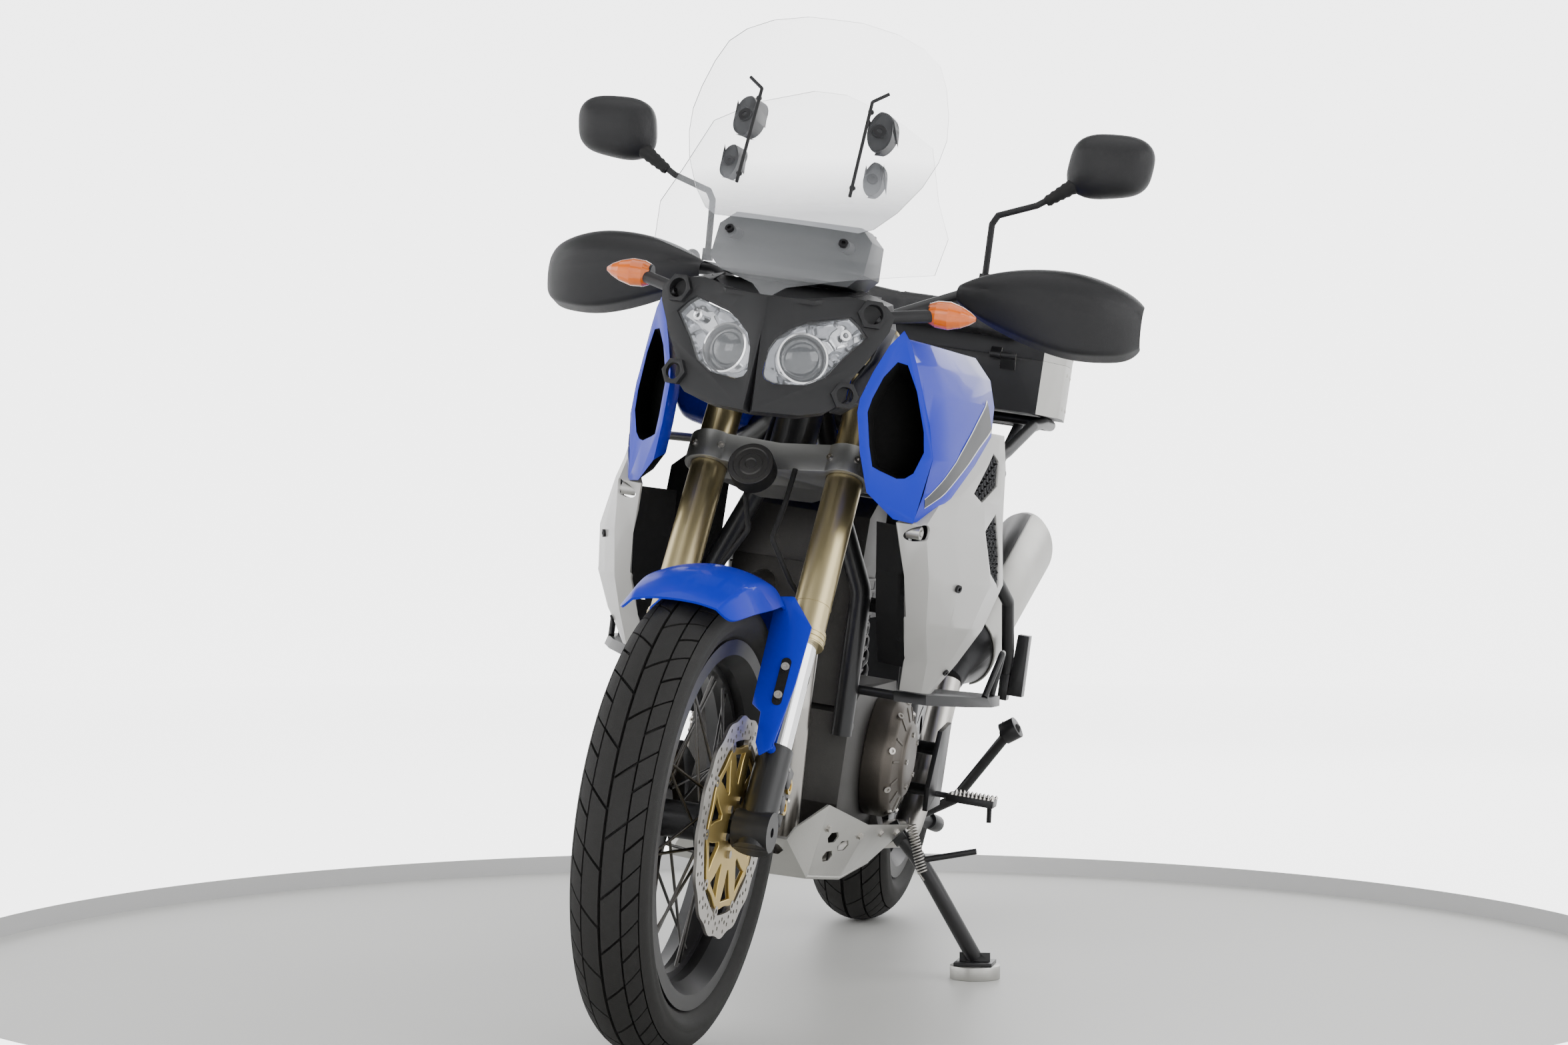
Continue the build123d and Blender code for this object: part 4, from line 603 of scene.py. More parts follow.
# tyres: a carcass with steps in its sidewalls, and tread blocks on it; crown is the radius of the tread's arc,
# bead the rim's seat, half half the rim's width, shear the blocks' slant
tyres = {
    "front_tyre": {"place": frontWheel, "radius": 329, "width": 110, "crown": 62, "bead": 244, "half": 38,
                   "depth": 6.5, "pitches": 26, "shear": 0.95,
                   "blocks": [(0.03, 0.97, 2.0, 27.0), (0.02, 0.47, 29.5, 52.0), (0.53, 0.98, 29.5, 52.0)]},
    "rear_tyre": {"place": rearWheel, "radius": 321, "width": 150, "crown": 80, "bead": 219, "half": 56,
                  "depth": 7.5, "pitches": 24, "shear": 0.85,
                  "blocks": [(0.03, 0.97, 3.0, 34.0), (0.02, 0.47, 37.5, 72.0), (0.54, 0.98, 37.5, 72.0)]}}
sidewall = {"tread": 0.43, "lip": (2, 14), "belly": 4, "step": 0.9, "steps": (4, 5, 9), "foot": 0.4,
            "walls": (9, 10, 20)}  # at the bead, the belly and the crown


# outer line from bead to bead, the tread's floor sunk by the grooves, then back along the inside
def tyreProfile(tyre):
    width, crown, bead, half = tyre["width"], tyre["crown"], tyre["bead"], tyre["half"]
    edge = math.asin(sidewall["tread"] * width / crown)
    shoulder = (sidewall["tread"] * width, tyre["radius"] - crown + crown * math.cos(edge))
    lip = (half + sidewall["lip"][0], bead + sidewall["lip"][1])
    belly = (width / 2, (shoulder[1] + bead) / 2 + sidewall["belly"])
    wall = []
    for k in range(13):
        t = k / 12
        shares = ((1 - t) * (1 - 2 * t), 4 * t * (1 - t), t * (2 * t - 1))
        y, r = (sum(share * p[i] for share, p in zip(shares, (shoulder, belly, lip))) for i in (0, 1))
        wall.append((min(y, width / 2) - (sidewall["step"] if k in sidewall["steps"] else 0), r))
    ground = []
    for k in range(17):
        a = edge * (1 - 2 * k / 16)
        floor = crown - tyre["depth"]
        ground.append((floor * math.sin(a), tyre["radius"] - crown + floor * math.cos(a)))
    foot, (atBead, atBelly, atCrown) = bead + sidewall["foot"], sidewall["walls"]
    left = [(half, foot)] + wall[::-1]
    right = [(-y, r) for y, r in reversed(left)]
    inner = [(half - atBead, foot), (width / 2 - atBelly, belly[1]), (0, tyre["radius"] - atCrown)]
    return left + ground + right + [(-y, r) for y, r in inner] + inner[1::-1]


# one block: flat, its foot a little wider, then slanted and wrapped on the crown
def treadBlock(bm, tyre, s0, s1, y0, y1, side):
    one = bmesh.new()
    bmesh.ops.create_grid(one, x_segments=4, y_segments=3, size=1)
    shift(one, (0, 0, 1), vertsOf(bmesh.ops.extrude_face_region(one, geom=one.faces[:])))
    for v in one.verts:
        top = v.co.z > 0.5
        spread = 0 if top else 0.8
        s = (s0 + s1) / 2 + v.co.x * ((s1 - s0) / 2 + spread)
        y = (y0 + y1) / 2 + v.co.y * ((y1 - y0) / 2 + spread)
        lift = tyre["crown"] - (0 if top else tyre["depth"] + 1)
        a = y / tyre["crown"]
        reach = tyre["radius"] - tyre["crown"] + lift * math.cos(a)
        x, z = polar(reach, (s + tyre["shear"] * y) / tyre["radius"])
        v.co = (x, side * lift * math.sin(a), z)
    bm.from_mesh(meshOf(one))


for node, tyre in tyres.items():
    bm = bmesh.new()
    pitch = math.tau * tyre["radius"] / tyre["pitches"]
    for side in (1, -1):
        for s0, s1, y0, y1 in tyre["blocks"]:
            offset = pitch / 2 if side < 0 else 0
            treadBlock(bm, tyre, s0 * pitch + offset, s1 * pitch + offset, y0, y1, side)
    bmesh.ops.spin(bm, geom=bm.verts[:] + bm.edges[:] + bm.faces[:], cent=(0, 0, 0), axis=yAxis, angle=math.tau,
                   steps=tyre["pitches"], use_duplicate=True)
    bmesh.ops.remove_doubles(bm, verts=bm.verts, dist=0.05)
    spun(bm, tyreProfile(tyre), 96, closed=True)
    outward(bm)
    move(bm, tyre["place"] @ mm)
    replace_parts(keep(bm, node + "Tread", bodyOf[node], tyreRubber, "tyre", 34), node)
print("stage: tyres ready")

# brake discs: a waved ring with holes, a gold carrier with windows, bobbins and bolts
disc = {"outer": 155, "wave": 2.2, "waves": 16, "inner": 122, "innerWave": 1.2, "hole": 3.1, "thick": 4.4,
        "plane": 69.7, "groups": 20, "holes": ((128, 0), (134, 5), (140, 10), (146, 3), (131, 13)),
        "carrier": 116, "carrierWave": 3, "bore": 23, "carrierThick": 6.0, "bobbins": 10, "bobbin": 118.6,
        "bobbinRadii": (7.4, 3.4), "bobbinThick": 7.2, "bolts": 6, "bolt": 6, "boltReach": 38, "boltLead": 0.26,
        "boltThick": 5, "boltProud": 4.6,
        "window": ((104, 0.21), (104, -0.21), (88, -0.15), (60, -0.05), (60, 0.05), (88, 0.15))}


def discPlate(bm, outlines, thickness, height):
    shift(bm, (0, 0, height - thickness / 2), flat(bm, outlines, thickness))


def waveRing(bm, height):
    holes = []
    for k in range(disc["groups"]):
        for reach, lead in disc["holes"]:
            holes.append(circle(disc["hole"], 8, polar(reach, math.radians(k * 360 / disc["groups"] + lead))))
    outer = circle(disc["outer"] - disc["wave"], 160, wave=disc["wave"], waves=disc["waves"])
    inner = circle(disc["inner"], 100, wave=disc["innerWave"], waves=disc["bobbins"])
    discPlate(bm, [outer, inner, *holes], disc["thick"], height)


def carrier(bm, height):
    outer = circle(disc["carrier"] - disc["carrierWave"], 120, wave=disc["carrierWave"], waves=disc["bobbins"])
    windows = []
    for k in range(disc["bobbins"]):
        middle = math.tau * (k + 0.5) / disc["bobbins"]
        windows.append([polar(reach, middle + spread) for reach, spread in disc["window"]])
    discPlate(bm, [outer, circle(disc["bore"], 40), *windows], disc["carrierThick"], height)
    soften(bm, 0.8, 50, 1)


def bobbins(bm, height):
    outer, bore = disc["bobbinRadii"]
    for k in range(disc["bobbins"]):
        spot = polar(disc["bobbin"], math.tau * k / disc["bobbins"])
        discPlate(bm, [circle(outer, 18, spot), circle(bore, 12, spot)], disc["bobbinThick"], height)
    head = height + math.copysign(disc["boltProud"], height)
    for k in range(disc["bolts"]):
        spot = polar(disc["boltReach"], math.tau * k / disc["bolts"] + disc["boltLead"])
        discPlate(bm, [circle(disc["bolt"], 6, spot)], disc["boltThick"], head)


discParts = {"disc": (waveRing, discSteel, "steel"), "carrier": (carrier, goldPart, "gold"),
             "bobbins": (bobbins, steel, "steel")}
for name, (make, look, slot) in discParts.items():
    for side, word in sides:
        bm = bmesh.new()
        make(bm, side * disc["plane"])
        outward(bm)
        move(bm, frontWheel @ Matrix.Rotation(math.radians(-90), 4, "X") @ mm)
        piece = keep(bm, name + word, "front_wheel", look, slot)
        if name == "disc" and side > 0:
            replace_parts(piece, "front_discs")
print("stage: discs ready")

# headlamps: reflector bowl, projector's ring and ball, corner light
lampZ = Vector((0.9213, 0.3571, 0.1535)).normalized()
lampX = Vector((-0.3614, 0.9324, 0)).normalized()
lampUnit = {
    "place": axesMatrix(lampX, lampZ.cross(lampX), lampZ, Vector((1.496, 0.072, 0.997))),
    "outline": [(46, 56), (21, 49), (-11, 41), (-33, 29), (-54, 12), (-64, -7), (-68, -41), (-64, -49),
                (-51, -54), (-4, -49), (22, -34), (42, -5), (59, 15), (73, 31), (60, 46)],
    "bowl": [(8.2, 0.965, (-4, -4)), (17, 0.93, (-4, -4)), (26, 0.80, (-6, -6)), (36, 0.58, (-8, -8)),
             (42, 0.5, (-8, -8))],  # depth, share of the outline, and the point it shrinks to
    "ring": [(-34, 37), (-16, 37.5), (-13, 36), (-12.5, 33.5), (-15, 32), (-34, 31)],
    "ball": 34, "ballCut": 6, "ballDepth": 0.72,
    "corner": [(-30, 9), (-14, 9), (-11, 7.5), (-10.5, 4), (-12, 3)]}


# a skin through rows of one outline, each at its own depth and drawn towards a point, with the last closed
def ringRows(bm, outline, rows):
    loops = []
    for depth, share, (mx, my) in rows:
        loops.append(looped(bm, [(mx + (x - mx) * share, my + (y - my) * share, -depth) for x, y in outline]))
    for a, b in zip(loops, loops[1:]):
        bmesh.ops.bridge_loops(bm, edges=a + b)
    bmesh.ops.holes_fill(bm, edges=loops[-1])


def lampBowl(bm):
    ringRows(bm, lampUnit["outline"], lampUnit["bowl"])
    bmesh.ops.subdivide_edges(bm, edges=bm.edges, cuts=1, smooth=0.15, use_grid_fill=True)
    outward(bm)


def lampSphere(bm):
    bmesh.ops.create_uvsphere(bm, u_segments=40, v_segments=24, radius=lampUnit["ball"])
    clipped(bm, (0, 0, lampUnit["ballCut"]), zAxis)
    bmesh.ops.scale(bm, vec=(1, 1, lampUnit["ballDepth"]), verts=bm.verts)


lampParts = {  # how it is made, its middle, finish and smoothing angle
    "lampBowl": (lampBowl, (0, 0, 0), reflector, 50),
    "lampRing": (lambda bm: spun(bm, lampUnit["ring"], 48, zAxis), (-12, -10, 0), chrome, 40),
    "lampBall": (lampSphere, (-12, -10, -32), lampBall, 60),
    "lampCorner": (lambda bm: spun(bm, lampUnit["corner"], 24, zAxis), (44, 31, 0), chrome, 40)}
for side, word in sides:
    for name, (make, middle, look, smooth) in lampParts.items():
        bm = bmesh.new()
        make(bm)
        shift(bm, middle)
        move(bm, halfBike(side) @ lampUnit["place"] @ mm)
        piece = keep(bm, name + word, "chassis", look, "lamp_chrome", smooth)
        if name == "lampBowl" and side > 0:
            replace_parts(piece, "headlamps")
print("stage: lamps ready")

# grilles: six-sided net laid on the grille's face inside its windows
net = {"pitch": 12, "bar": 2.2, "thick": 2.2, "proud": 0.0026,
       "windows": [[(1128, 832), (1040, 896), (1024, 884), (1028, 848), (1100, 820)],
                   [(1102, 778), (1034, 806), (1024, 744), (1040, 694), (1086, 716)]]}


def inLoop(x, y, loop):  # whether a point lies within a closed outline
    inside = False
    for (ax, ay), (cx, cy) in zip(loop, loop[1:] + loop[:1]):
        if (ay > y) != (cy > y) and x < (cx - ax) * (y - ay) / (cy - ay) + ax:
            inside = not inside
    return inside


def netCell(bm, side, x, z, radius):
    run = bike.to_3x3() @ Vector((0, -side, 0))
    hit, normal, *_ = surfaceOf("grilles").ray_cast(at(bike, x, side * 400, z), run, 0.26)
    if hit is None:
        return
    if normal.dot(run) > 0:
        normal = -normal
    cell = bmesh.ops.create_circle(bm, cap_ends=True, segments=6, radius=radius / 1000)
    place = axesMatrix(bikeX, normal.cross(bikeX).normalized(), normal, hit + normal * net["proud"])
    move(bm, place, cell["verts"])


for side, word in sides:
    bm = bmesh.new()
    radius = net["pitch"] / math.sqrt(3)
    for window in net["windows"]:
        across, up = zip(*window)
        for column in range(math.ceil((max(across) - min(across)) / (radius * 1.5))):
            x = min(across) + column * radius * 1.5
            z = min(up) + (net["pitch"] / 2 if column % 2 else 0)
            while z < max(up):
                if inLoop(x, z, window):
                    netCell(bm, side, x, z, radius)
                z += net["pitch"]
    bmesh.ops.remove_doubles(bm, verts=bm.verts, dist=0.0018)
    bars = set(bmesh.ops.inset_individual(bm, faces=bm.faces[:], thickness=net["bar"] / 2000, depth=0)["faces"])
    bmesh.ops.delete(bm, geom=[f for f in bm.faces if f not in bars], context="FACES")
    bmesh.ops.solidify(bm, geom=bm.faces[:], thickness=net["thick"] / 1000)
    keep(bm, "grilleNet" + word, "chassis", netPlastic, "black_plastic", 30)
print("stage: grilles ready")

# air scoops: blue outside, black painted shade inside the mouth and on the inward faces, with a flat sheet of
# painted shade across the duct
mouthZ = Vector((0.5426, 0.8324, -0.0975)).normalized()
mouthX = Vector((-0.766, 0.540, 0.347)).normalized()
mouth = {
    "place": axesMatrix(mouthX, mouthZ.cross(mouthX), mouthZ, Vector((1.360, 0.194, 0.9035))),
    "outline": [(-12, 107), (-40, 92), (-63, 67), (-73, 50), (-72, 0), (-68, -30), (-54, -40), (-22, -60),
                (-6, -64), (11, -61), (33, -36), (34, -6), (23, 56), (7, 98)],
    "middle": (-20, 5), "duct": Vector((-0.93, -0.10, -0.06)), "shadeSheetDepth": 0.058, "shadeBehind": 1345}
ductRun = mouth["place"].to_3x3().inverted() @ mouth["duct"]


def mouthLoop(share):  # the mouth's outline, larger or smaller round its middle
    mx, my = mouth["middle"]
    return [(mx + (x - mx) * share, my + (y - my) * share) for x, y in mouth["outline"]]


def mouthPaint(side):
    half = halfBike(side)
    inMouth, inHalf, turn = within(half @ mouth["place"]), within(half), half.to_3x3().inverted()
    wide = mouthLoop(1.12)

    def choose(point, normal):
        p = inMouth(point)
        q = p - ductRun * (p.z / ductRun.z)  # the point run forward along the duct
        # painted shade on inward faces behind a given x and inside the mouth
        inShade = inHalf(point).x < mouth["shadeBehind"] and (turn @ normal).y < -0.25
        return int(inShade or (p.z < -2 and inLoop(q.x, q.y, wide)))
    return choose


for side, word in sides:
    dressed("scoop_" + word.lower(), [bluePaint, paintedShade], 0.0022, paint=mouthPaint(side))
    # a flat sheet of painted shade across the duct, behind the mouth
    shadeSheet = bmesh.new()
    flat(shadeSheet, [mouthLoop(0.96)], 2)
    back = Matrix.Translation(mouth["duct"] * mouth["shadeSheetDepth"])
    move(shadeSheet, halfBike(side) @ back @ mouth["place"] @ mm)
    outward(shadeSheet)
    keep(shadeSheet, "ductShade" + word, "chassis", paintedShade, "black_plastic", 30)
lampEdge = {"x": -231.8, "z": 838}  # the tail lamp begins behind and above these
dressed("tail_unit", [blackPlastic, redLens], 0.002,
        paint=lambda point, normal: int(inBike(point).x < lampEdge["x"] and inBike(point).z > lampEdge["z"]))


# the shape after its modifiers, as a bmesh again
def settled(bm, steps):
    holder = linked("settled", meshOf(bm))
    for kind, values in steps.items():
        step = holder.modifiers.new(kind, kind)
        for key, value in values.items():
            setattr(step, key, value)
    made = evaluated(holder)
    bpy.data.objects.remove(holder)
    return bmeshOf(made)


# a rounded shell through rows of points, facing outwards; creases gives the columns that stay crisper
def shell(rows, out, wall, creases, levels=3):
    bm = bmesh.new()
    across, along = len(rows[0]) - 1, len(rows) - 1
    bmesh.ops.create_grid(bm, x_segments=across, y_segments=along, size=0.5)
    column = {v: round((v.co.x + 0.5) * across) for v in bm.verts}
    row = {v: round((v.co.y + 0.5) * along) for v in bm.verts}
    layer = bm.edges.layers.float.new("crease_edge")
    for edge in bm.edges:
        a, b = edge.verts
        if column[a] == column[b]:
            edge[layer] = creases.get(column[a], 0)
    for v in bm.verts:
        v.co = Vector(rows[row[v]][column[v]]) / 1000
    bm.normal_update()
    facing = sum((f.normal * f.calc_area() for f in bm.faces), Vector())
    if facing.dot(out) < 0:
        bmesh.ops.reverse_faces(bm, faces=bm.faces)
    return settled(bm, {"SUBSURF": {"levels": levels, "render_levels": levels},
                        "SOLIDIFY": {"thickness": wall / 1000, "offset": -1}})


# a round bar between two points, in metres once made
def rodTo(bm, start, end, radius, segments=20):
    a, b = Vector(start) / 1000, Vector(end) / 1000
    turn = (b - a).to_track_quat("Z", "Y").to_matrix().to_4x4()
    bmesh.ops.create_cone(bm, cap_ends=True, segments=segments, radius1=radius / 1000, radius2=radius / 1000,
                          depth=(b - a).length, matrix=Matrix.Translation((a + b) / 2) @ turn)


def mirrored(bm):  # adds the other side's copy
    bmesh.ops.mirror(bm, geom=bm.verts[:] + bm.edges[:] + bm.faces[:], matrix=Matrix.Identity(4), merge_dist=-1,
                     axis="Y")
    outward(bm)


def replacing(bm, node, name, look, slot, smooth):
    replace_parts(keep(bm, name, bodyOf[node], look, slot, smooth), node)


# front fender: half sections at angles round the wheel, and a wing down each fork leg
fender = {
    "wall": 3.4, "creases": {1: 0.55, 3: 0.35, 5: 0.55}, "sections": {  # across, and radius from the axle
        64: [(0, 346), (34, 345), (60, 338), (78, 320)], 68: [(0, 350), (36, 349), (66, 340), (86, 314)],
        76: [(0, 355), (40, 352), (71, 339), (92, 308)], 84: [(0, 359), (42, 355), (73, 340), (94, 303)],
        98: [(0, 363), (41, 359), (73, 343), (95, 310)], 112: [(0, 360), (39, 357), (67, 348), (76, 333)],
        130: [(0, 352), (37, 350), (61, 342), (69, 330)], 146: [(0, 347), (34, 345), (57, 338), (64, 326)],
        148: [(0, 346), (34, 344), (57, 337), (64, 326)]},
    "wing": [(60, 692), (88, 692), (121, 652), (119, 560), (110, 458), (94, 446), (84, 466), (80, 512),
             (64, 524)],
    "fold": (84, 692), "foldSlope": 0.075, "wingX": 78.6, "sweep": 0.24, "boss": (104, 464), "bossRadius": 7}
rows = []
for angle, half in fender["sections"].items():
    line = [(-y, r) for y, r in half[:0:-1]] + half
    c, s = polar(1, math.radians(angle))
    rows.append([(r * c, y, r * s) for y, r in line])
top = shell(rows, zAxis, fender["wall"], fender["creases"])
move(top, frontWheel)
wings = bmesh.new()
flat(wings, [fender["wing"]], fender["wall"])
outward(wings)
foldY, foldZ = fender["fold"]
bmesh.ops.bisect_plane(wings, geom=wings.verts[:] + wings.edges[:] + wings.faces[:], plane_co=(foldY, foldZ, 0),
                       plane_no=(0.99, 0.09, 0))
for v in wings.verts:  # swept back on both sides of the fold
    y, z, x = v.co
    away = abs(y - foldY - (foldZ - z) * fender["foldSlope"])
    v.co = (fender["wingX"] + x - fender["sweep"] * away, y, z)
bmesh.ops.scale(wings, vec=(0.001, 0.001, 0.001), verts=wings.verts)
soften(wings, 0.0012, 40)
rodTo(wings, (60, *fender["boss"]), (80, *fender["boss"]), fender["bossRadius"])
mirrored(wings)
move(wings, steer)
top.from_mesh(meshOf(wings))
replacing(top, "front_fender", "fenderShell", bluePaint, "blue_paint", 34)

# tank: facets rounded away, with a separate filler cap
tank = {"voxel": 0.006, "passes": 14, "cap": (950, 0, 1088), "capLine": [
    (-22, 49), (-10, 48), (-8, 43), (0, 42), (3, 38), (3, 24), (1, 22), (1, 9), (4, 8), (4, 0.2)]}
bm = settled(copyOf("fuel_tank"), {"REMESH": {"mode": "VOXEL", "voxel_size": tank["voxel"]}})
for k in range(tank["passes"]):
    bmesh.ops.smooth_vert(bm, verts=bm.verts, factor=0.5, use_axis_x=True, use_axis_y=True, use_axis_z=True)
replacing(bm, "fuel_tank", "tankSkin", bluePaint, "blue_paint", 60)
cap = bmesh.new()
spun(cap, tank["capLine"], 56, zAxis)
shift(cap, tank["cap"])
move(cap, bike @ mm)
keep(cap, "fillerCap", "chassis", darkAlloy, "dark_alloy", 35)

# hand guards: a bowl open to the rear, pressed in along a seam, with its bar end
guard = {
    "wall": 3.6, "creases": {3: 0.5}, "sections": {  # (x, z) at each y
        203: [(1096, 1130), (1114, 1132), (1128, 1120), (1120, 1106), (1100, 1102)],
        232: [(1088, 1146), (1122, 1150), (1138, 1118), (1124, 1088), (1100, 1082)],
        290: [(1076, 1164), (1128, 1166), (1148, 1116), (1130, 1066), (1090, 1056)],
        366: [(1064, 1170), (1124, 1170), (1140, 1108), (1124, 1044), (1080, 1034)],
        420: [(1054, 1158), (1108, 1158), (1124, 1100), (1108, 1046), (1066, 1036)],
        458: [(1042, 1142), (1080, 1142), (1096, 1094), (1080, 1052), (1044, 1042)],
        473.5: [(1034, 1126), (1052, 1126), (1062, 1094), (1052, 1066), (1034, 1062)]},
    "bars": [((998, 454, 1130), (1066, 454, 1116), 7), ((1000, 443.6, 1126.5), (1000, 456, 1129), 6)]}
# pressed in along a line that begins at (x, y, z) and falls outwards, on what lies before x
seam = {"x": 1090, "y": 205, "z": 1128, "sweep": 0.1, "fall": 0.05, "depth": 0.0028, "width": 3.2}
rows = [[(x, y, z) for x, z in line] for y, line in guard["sections"].items()]
bm = shell(rows, xAxis, guard["wall"], guard["creases"])
for v in bm.verts:
    p = v.co * 1000
    away = p.y - seam["y"]
    if p.x > seam["x"] - seam["sweep"] * away:
        gap = p.z - seam["z"] + seam["fall"] * away
        v.co.x -= seam["depth"] * math.exp(-(gap / seam["width"]) ** 2)
for start, end, radius in guard["bars"]:
    rodTo(bm, start, end, radius)
mirrored(bm)
move(bm, turned)
replacing(bm, "hand_guards", "guardShells", blackPlastic, "black_plastic", 40)

# mirrors: rounded heads on bent stems, each with a hexagon at its foot and a socket at its head
mirror = {
    "middle": (1018, 398, 1334), "half": (64.5, 48.5), "squareness": 2.9, "stem": 5,
    "rows": [(0.4, 0.96), (3, 0.995), (12, 1.0), (20, 0.975), (28, 0.915), (35, 0.82), (41, 0.69), (45.5, 0.53),
             (48.5, 0.34), (49.8, 0.14)],
    "line": [(1032.4, 222, 1137.2), (1032, 224, 1232), (1032, 232, 1246), (1032, 290, 1266), (1034, 322, 1286)],
    "pulls": [(0.10, 222, 3), (-0.09, 320, 2)],  # amount, angle and sharpness
    "foot": ((1032.4, 222, 1137.4), (1032.3, 222, 1156)), "socket": ((1035, 338, 1296), (1038, 364, 1312)),
    "jointRadius": 9, "glass": (59, 43), "glassX": 1017.3,
    "boot": ((1033, 310, 1277), (1037, 350, 1304))}
headLine = []
for k in range(56):
    a = math.tau * k / 56
    c, s = polar(1, a)
    reach = (abs(c) ** mirror["squareness"] + abs(s) ** mirror["squareness"]) ** (-1 / mirror["squareness"])
    pull = 1 + sum(amount * max(0, math.cos(a - math.radians(angle))) ** power
                   for amount, angle, power in mirror["pulls"])
    headLine.append((mirror["half"][0] * c * reach * pull, mirror["half"][1] * s * reach * pull))
heads = bmesh.new()
ringRows(heads, headLine, [(depth, share, (4, 2)) for depth, share in mirror["rows"]])
bmesh.ops.holes_fill(heads, edges=heads.edges, sides=60)
move(heads, axesMatrix(yAxis, zAxis, -xAxis, Vector(mirror["middle"]) / 1000) @ mm)
for a, b in zip(mirror["line"], mirror["line"][1:]):
    rodTo(heads, a, b, mirror["stem"])
    bmesh.ops.create_uvsphere(heads, u_segments=16, v_segments=10, radius=mirror["stem"] / 1000,
                              matrix=Matrix.Translation(Vector(b) / 1000))
rodTo(heads, *mirror["foot"], mirror["jointRadius"], 6)
rodTo(heads, *mirror["socket"], mirror["jointRadius"])
mirrored(heads)
move(heads, turned)
replacing(heads, "mirrors", "mirrorHeads", blackPlastic, "black_plastic", 50)
for side, word in sides:
    glass = bmesh.new()
    bmesh.ops.create_circle(glass, cap_ends=True, segments=48, radius=1)
    bmesh.ops.scale(glass, vec=(*mirror["glass"], 1), verts=glass.verts)
    middle = (mirror["glassX"], side * mirror["middle"][1], mirror["middle"][2])
    move(glass, turned @ mm @ axesMatrix(yAxis, -zAxis, -xAxis, middle))
    keep(glass, "mirrorGlass" + word, "steering", chrome, "chrome", 30)
    boot = bmesh.new()
    bootLine = [(k * 5 - 32, 7.2 + 0.42 * k + (1.5 if k % 2 else 0)) for k in range(13)]
    spun(boot, bootLine + [(31, 12.5)], 24, zAxis)
    low, high = (Vector((x, side * y, z)) for x, y, z in mirror["boot"])
    turn = (high - low).to_track_quat("Z", "Y").to_matrix().to_4x4()
    move(boot, turned @ mm @ Matrix.Translation((low + high) / 2) @ turn)
    keep(boot, "mirrorBoot" + word, "steering", rubber, "rubber", 60)

# screen sliders: oval blocks between the screens' curved faces, with the node's own slim rails
slider = {"bevel": 3, "railHeight": 100,
          "blocks": [(1250, 104, 25, 13), (1320, 98, 30, 17)]}  # height, side, half height, half width
# each screen's face: x at a height, rake, and the radius of its bow, which grows with height on the lower one
highFace = {"x": 1477.5, "z": 1177, "rake": 0.449, "radius": 291, "growth": 0, "radiusZ": 0}
lowFace = {"x": 1531, "z": 1060, "rake": 0.705, "radius": 215, "growth": 1.1, "radiusZ": 1087}


def faceX(face, y, z):
    radius = face["radius"] + face["growth"] * (z - face["radiusZ"])
    return face["x"] - face["rake"] * (z - face["z"]) - y * y / (2 * radius)


def islands(bm):  # groups of vertices that hang together
    left = set(bm.verts)
    while left:
        group, edge = set(), [left.pop()]
        while edge:
            v = edge.pop()
            group.add(v)
            beside = {link.other_vert(v) for link in v.link_edges} & left
            left -= beside
            edge += beside
        yield group


rails = copyOf("screen_sliders")
for group in list(islands(rails)):
    heights = [inBike(v.co).z for v in group]
    if max(heights) - min(heights) < slider["railHeight"]:
        bmesh.ops.delete(rails, geom=list(group), context="VERTS")
ovals = bmesh.new()
for z, y, high, wide in slider["blocks"]:
    made = bmesh.ops.create_cone(ovals, cap_ends=True, segments=40, radius1=1, radius2=1, depth=1)["verts"]
    for v in made:
        py, pz = y + v.co.x * wide, z + v.co.y * high
        v.co = (faceX(highFace if v.co.z > 0 else lowFace, py, pz), py, pz)
    lip = [e for e in ovals.edges if e.verts[0] in made and e.calc_face_angle(0) > 0.6]
    bevelled(ovals, lip, slider["bevel"], 3)
bmesh.ops.scale(ovals, vec=(0.001, 0.001, 0.001), verts=ovals.verts)
mirrored(ovals)
move(ovals, bike)
ovals.from_mesh(meshOf(rails))
replacing(ovals, "screen_sliders", "sliderBlocks", blackPlastic, "black_plastic", 40)
print("stage: shells ready")

# stripes laid on the scoops: (x, z, half width) along the middle line, and each strip's edges and height
stripe = {"line": [(1292, 808, 7), (1240, 838, 11), (1190, 872, 15), (1120, 918, 19), (1064, 952, 23)],
          "strips": {"": (-1, 1, 0.5, 4, stripeGrey), "Low": (-1.14, -1.0, 0.6, 1, stripeWhite),
                     "High": (1.0, 1.14, 0.6, 1, stripeWhite)}}


def laid(node, side, line, low, high, proud, across):
    bm = bmesh.new()
    bmesh.ops.create_grid(bm, x_segments=40, y_segments=across, size=1)
    out = bike.to_3x3() @ Vector((0, side, 0))
    missed = []
    for v in bm.verts:
        t = (v.co.x + 1) / 2 * (len(line) - 1)
        k = min(int(t), len(line) - 2)
        (xa, za, ha), (xb, zb, hb) = line[k], line[k + 1]
        f = t - k
        run = Vector((xb - xa, zb - za)).normalized()
        reach = (ha + (hb - ha) * f) * (low + (high - low) * (v.co.y + 1) / 2)
        start = at(bike, xa + (xb - xa) * f - run.y * reach, side * 420, za + (zb - za) * f + run.x * reach)
        hit, *_ = surfaceOf(node).ray_cast(start, -out, 0.4)
        if hit is None:
            missed.append(v)
        else:
            v.co = hit + out * proud / 1000
    bmesh.ops.delete(bm, geom=missed, context="VERTS")
    return bm


for side, word in sides:
    for edge, (low, high, proud, across, look) in stripe["strips"].items():
        bm = laid("scoop_" + word.lower(), side, stripe["line"], low, high, proud, across)
        keep(bm, "stripe" + edge + word, "chassis", look, "blue_paint", 60)
print("stage: scoops and stripes ready")

